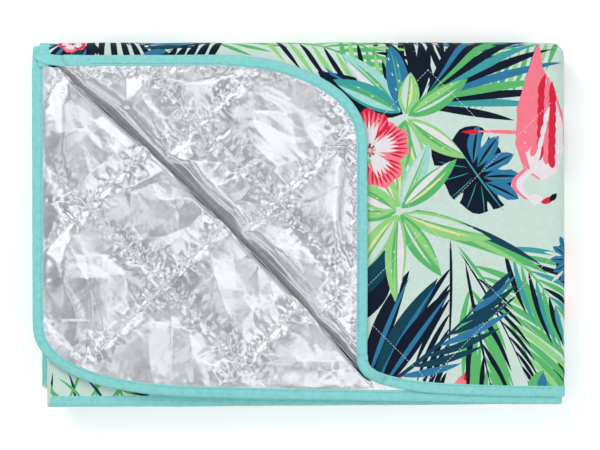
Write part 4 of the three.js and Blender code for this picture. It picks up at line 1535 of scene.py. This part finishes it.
for above, below in ((9, 12), (10, 11), (13, 16), (14, 15)):
    z = ((16 - above) * PITCH + (16 - below) * PITCH + QUILT) / 2
    inner = (below - above - 1) / 2 * PITCH + LAYER_GAP / 2
    y = BOTTOM + SET_BACK[above][1] + BOTTOM_LOOP
    edge = 1.0 if free_left(above) else LOOP_RADIUS
    x = LEFT + max(SET_BACK[above][0], SET_BACK[below][0]) + edge
    section = fold_section(inner, inner + QUILT)
    material, slot = (PRINT, "print_cloth") if above in (9, 13) else (FOIL, "foil_backing")
    obj = fold_object(f"bottom_fold_{above}", section, (SIDE_X, y, z), (x, y, z), (0, -1, 0), material)
    leave_plain(settle(obj, "lower_half", slot, f"bottom_fold_layers_{above}_{below}"))

corner_foil = settle(flap_foil(), "turned_corner", "foil_backing", "turned_corner_foil_backing")
nodes = ("turned_corner_print_cloth", "turned_corner_wadding")
corner_print = settle(flap_print(), "turned_corner", "print_cloth", *nodes)
settle(flap_tape(), "turned_corner", "edge_binding", "turned_corner_edge_binding")

# the film splits along the crease, so that it doesn't stand up where the closed corner lies flat; the print bridges it
settle(roll_skin("crease_roll_under", slice(0, 9)), "upper_half", "foil_backing")
settle(roll_skin("crease_roll_over", slice(8, None)), "turned_corner", "foil_backing")
roll_print = settle(roll_inside(), None, "print_cloth", "turned_corner_crease")
blend_over(roll_print, ("upper_half", "turned_corner"), LAYER_ONE_TOP - FACE_DEPTH + 0.34, 0.03)
blend_over(settle(corner_stub(), None, "edge_binding"), ("lower_half", "upper_half"), FOLD_Z, LOOP_RADIUS)


def layer_place(layer, face):
    relief = free_faces(layer, "upper", face)
    return lambda x, y: place("upper", layer, x, y, HALF_QUILT - FACE_DEPTH + relief(x, y))


shown_one = lambda x, y: inside(1, x, y, 9) & (flap_depth(x, y) < 8) & (x < SIDE_X) & (y < END_Y)
shown_two = lambda x, y: inside(2, x, y, 9) & (diagonal(x, y)[1] < crease_v(diagonal(x, y)[0]) + 2)
shown_flap = lambda x, y: inside_flap(x, y, 9) & (diagonal(x, y)[1] > FLAP_CUT_V)
box_low, box_high = (LEFT - 5, BOTTOM - 5), (RIGHT + 5, TOP + 5)
stitches = {
    "layer1_stitches": (LAYER_ONE_ROWS, shown_one, layer_place(1, "print"), "upper_half", "layer1_stitching"),
    "layer2_stitches": (LAYER_TWO_ROWS, shown_two, layer_place(2, "foil"), "upper_half", "layer2_stitching"),
    "corner_stitches": (FLAP_ROWS, shown_flap, flap_place, "turned_corner", "turned_corner_stitching"),
}
for name, (rows, test, locate, body, node) in stitches.items():
    lines = rows_inside(rows, test, box_low, box_high)
    on_foil = name != "layer1_stitches"
    pitch, length, width, height = (4.4, 3.4, 0.75, 0.35) if on_foil else (3.2, 2.8, 0.5, 0.2)
    obj = stitch_object(name, lines, locate, THREAD, pitch, length, width, height)
    settle(obj, body, "stitching_thread", node)


SEAM_INSET = 8.3  # from the blanket's edge to the seam along its binding


def tape_seam(name, path, locate, body):
    path = np.array(path, float)
    line = path + to_the_left(path) * SEAM_INSET
    settle(stitch_object(name, [line], locate, SEAM_THREAD, 2.7, 1.9, 0.6, 0.3), body, "stitching_thread")


def tape_top(quarter, rise):
    return lambda x, y: place("upper", quarter, x, y, HALF_QUILT + rise)


edge_one = [p for p in outline(1, 0) if p[0] > EDGE_START_X + 6 and p[1] < BOTTOM + 60]
tape_seam("binding_seam_layer1", edge_one, tape_top(1, 0.22), "upper_half")
tape_seam("binding_seam_layer2", outline(2, 0), tape_top(2, 0.27), "upper_half")
flap_path = [p for p in flap_outline_points()[::-1] if p[0] + p[1] > -38 and p[1] > -122]
tape_seam(
    "binding_seam_corner", flap_path,
    lambda x, y: lifted(x, y, FLAP_MIDDLE_Z + HALF_QUILT + 0.38 + 0 * x), "turned_corner",
)

UNDER_CORNER = (0, 0, (FLAP_MIDDLE_Z - HALF_QUILT + 0.1) * MM)
ON_LAYER_TWO = (0, 0, (14 * PITCH + QUILT - FACE_DEPTH) * MM)
OVER_CORNER = ("turned_corner_foil", "turned_corner_binding", "crease_roll_over", "corner_stitches")
for names, anchor, keep in (
    ((*OVER_CORNER, "binding_seam_corner"), UNDER_CORNER, 0.3),
    (("upper_quarter2_foil_exposed", "layer2_stitches"), ON_LAYER_TWO, 0.15),
):
    for name in names:
        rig.squash(bpy.data.objects[name], "corner_turns", axis=(0, 0, 1), anchor=anchor, keep=keep)

for obj, (width, length, area) in SHEETS.items():
    upper = obj.name.startswith("upper")
    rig.sheet(
        obj, flat=(width * MM, length * MM), held="folded", area=None if area is None else area * MM * MM,
        rests_on=["lower_quarter1_print"] if upper else [],
    )
corner_outline = flap_outline_points()
corner_size = tuple(float(p) * MM for p in np.ptp(corner_outline, axis=0))
corner_area = abs(area_of(corner_outline)) * MM * MM
for obj in (corner_foil, corner_print):
    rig.sheet(obj, flat=corner_size, held="folded", area=corner_area, rests_on=["upper_quarter1_print"])

# ---- Stage, light and camera ----

FLOOR_REACH, FLOOR_Z = 6, -0.0005


def floor_shade(graph, vector):
    grey = graph.ramp(graph.texture("Noise", 3, vector), 0.99, 1.0)
    base = graph.tinted((0.97, 0.97, 0.97), grey)
    return {"Base Color": base, "Roughness": 0.9, "Emission Color": (1, 1, 1, 1), "Emission Strength": 0.22}


floor_mesh = bpy.data.meshes.new("floor")
floor_corners = [(FLOOR_REACH * x, FLOOR_REACH * y, FLOOR_Z) for x, y in ((-1, -1), (1, -1), (1, 1), (-1, 1))]
floor_mesh.from_pydata(floor_corners, [], [(0, 1, 2, 3)])
floor_mesh.materials.append(node_material("floor", floor_shade))
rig.stage(add_to_scene("floor", floor_mesh))

world = bpy.data.worlds.new("studio")
bpy.context.scene.world = world
world.use_nodes = True
sky = Graph(world.node_tree)
direction = sky.add("TexCoord", "Generated")
shifted = sky.add("Mapping", "Vector", {"Vector": direction, "Location": (3.1, 1.7, 0.4)})
panels = sky.ramp(sky.texture("Noise", 6.5, shifted, Detail=1.0, Roughness=0.5), 0.40, 1.52, 0.45, 0.60)
overhead = sky.ramp(sky.add("SeparateXYZ", "Z", {"Vector": direction}), 0.16, 1.0, 0.25, 0.88)
level = sky.math("MULTIPLY", panels, overhead)
tint = {"Red": 0.965, "Green": 0.985, "Blue": 1.0}
tone = sky.add("CombineColor", "Color", {key: sky.math("MULTIPLY", level, share) for key, share in tint.items()})
sky.set(sky.nodes["Background"], {"Color": tone, "Strength": 1.0})


def area_light(name, position, size, power):
    """A rectangular light that faces the blanket."""
    data = bpy.data.lights.new(name, "AREA")
    data.shape = "RECTANGLE"
    data.size, data.size_y = size
    data.energy = power
    light = add_to_scene(name, data)
    light.location = position
    light.rotation_euler = (-Vector(position)).to_track_quat("-Z", "Y").to_euler()


area_light("key_left", (-1.3, 1.5, 1.6), (1.5, 1.5), 28)
area_light("key_right", (1.7, -0.9, 1.6), (1.2, 1.4), 18)

camera_data = bpy.data.cameras.new("camera")
camera = add_to_scene("camera", camera_data)
SENSOR = 36  # millimetres
DISTANCE = 4.0  # metres above the floor
TOP_HEIGHT = 0.045  # where the frame's width is measured
FRAME_WIDTH = 0.5625
CAMERA_X = 0.0012
camera_data.sensor_width = SENSOR
camera_data.lens = SENSOR * (DISTANCE - TOP_HEIGHT) / FRAME_WIDTH
camera_data.clip_end = 50
camera.location = (CAMERA_X, 0.0, DISTANCE)
bpy.context.scene.camera = camera
bpy.context.scene.view_settings.view_transform = "Standard"

visual_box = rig.bounds()
with open("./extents.json", "w") as file:
    json.dump({"cad": [list(map(float, p)) for p in cad_box], "visual": [list(map(float, p)) for p in visual_box]}, file)
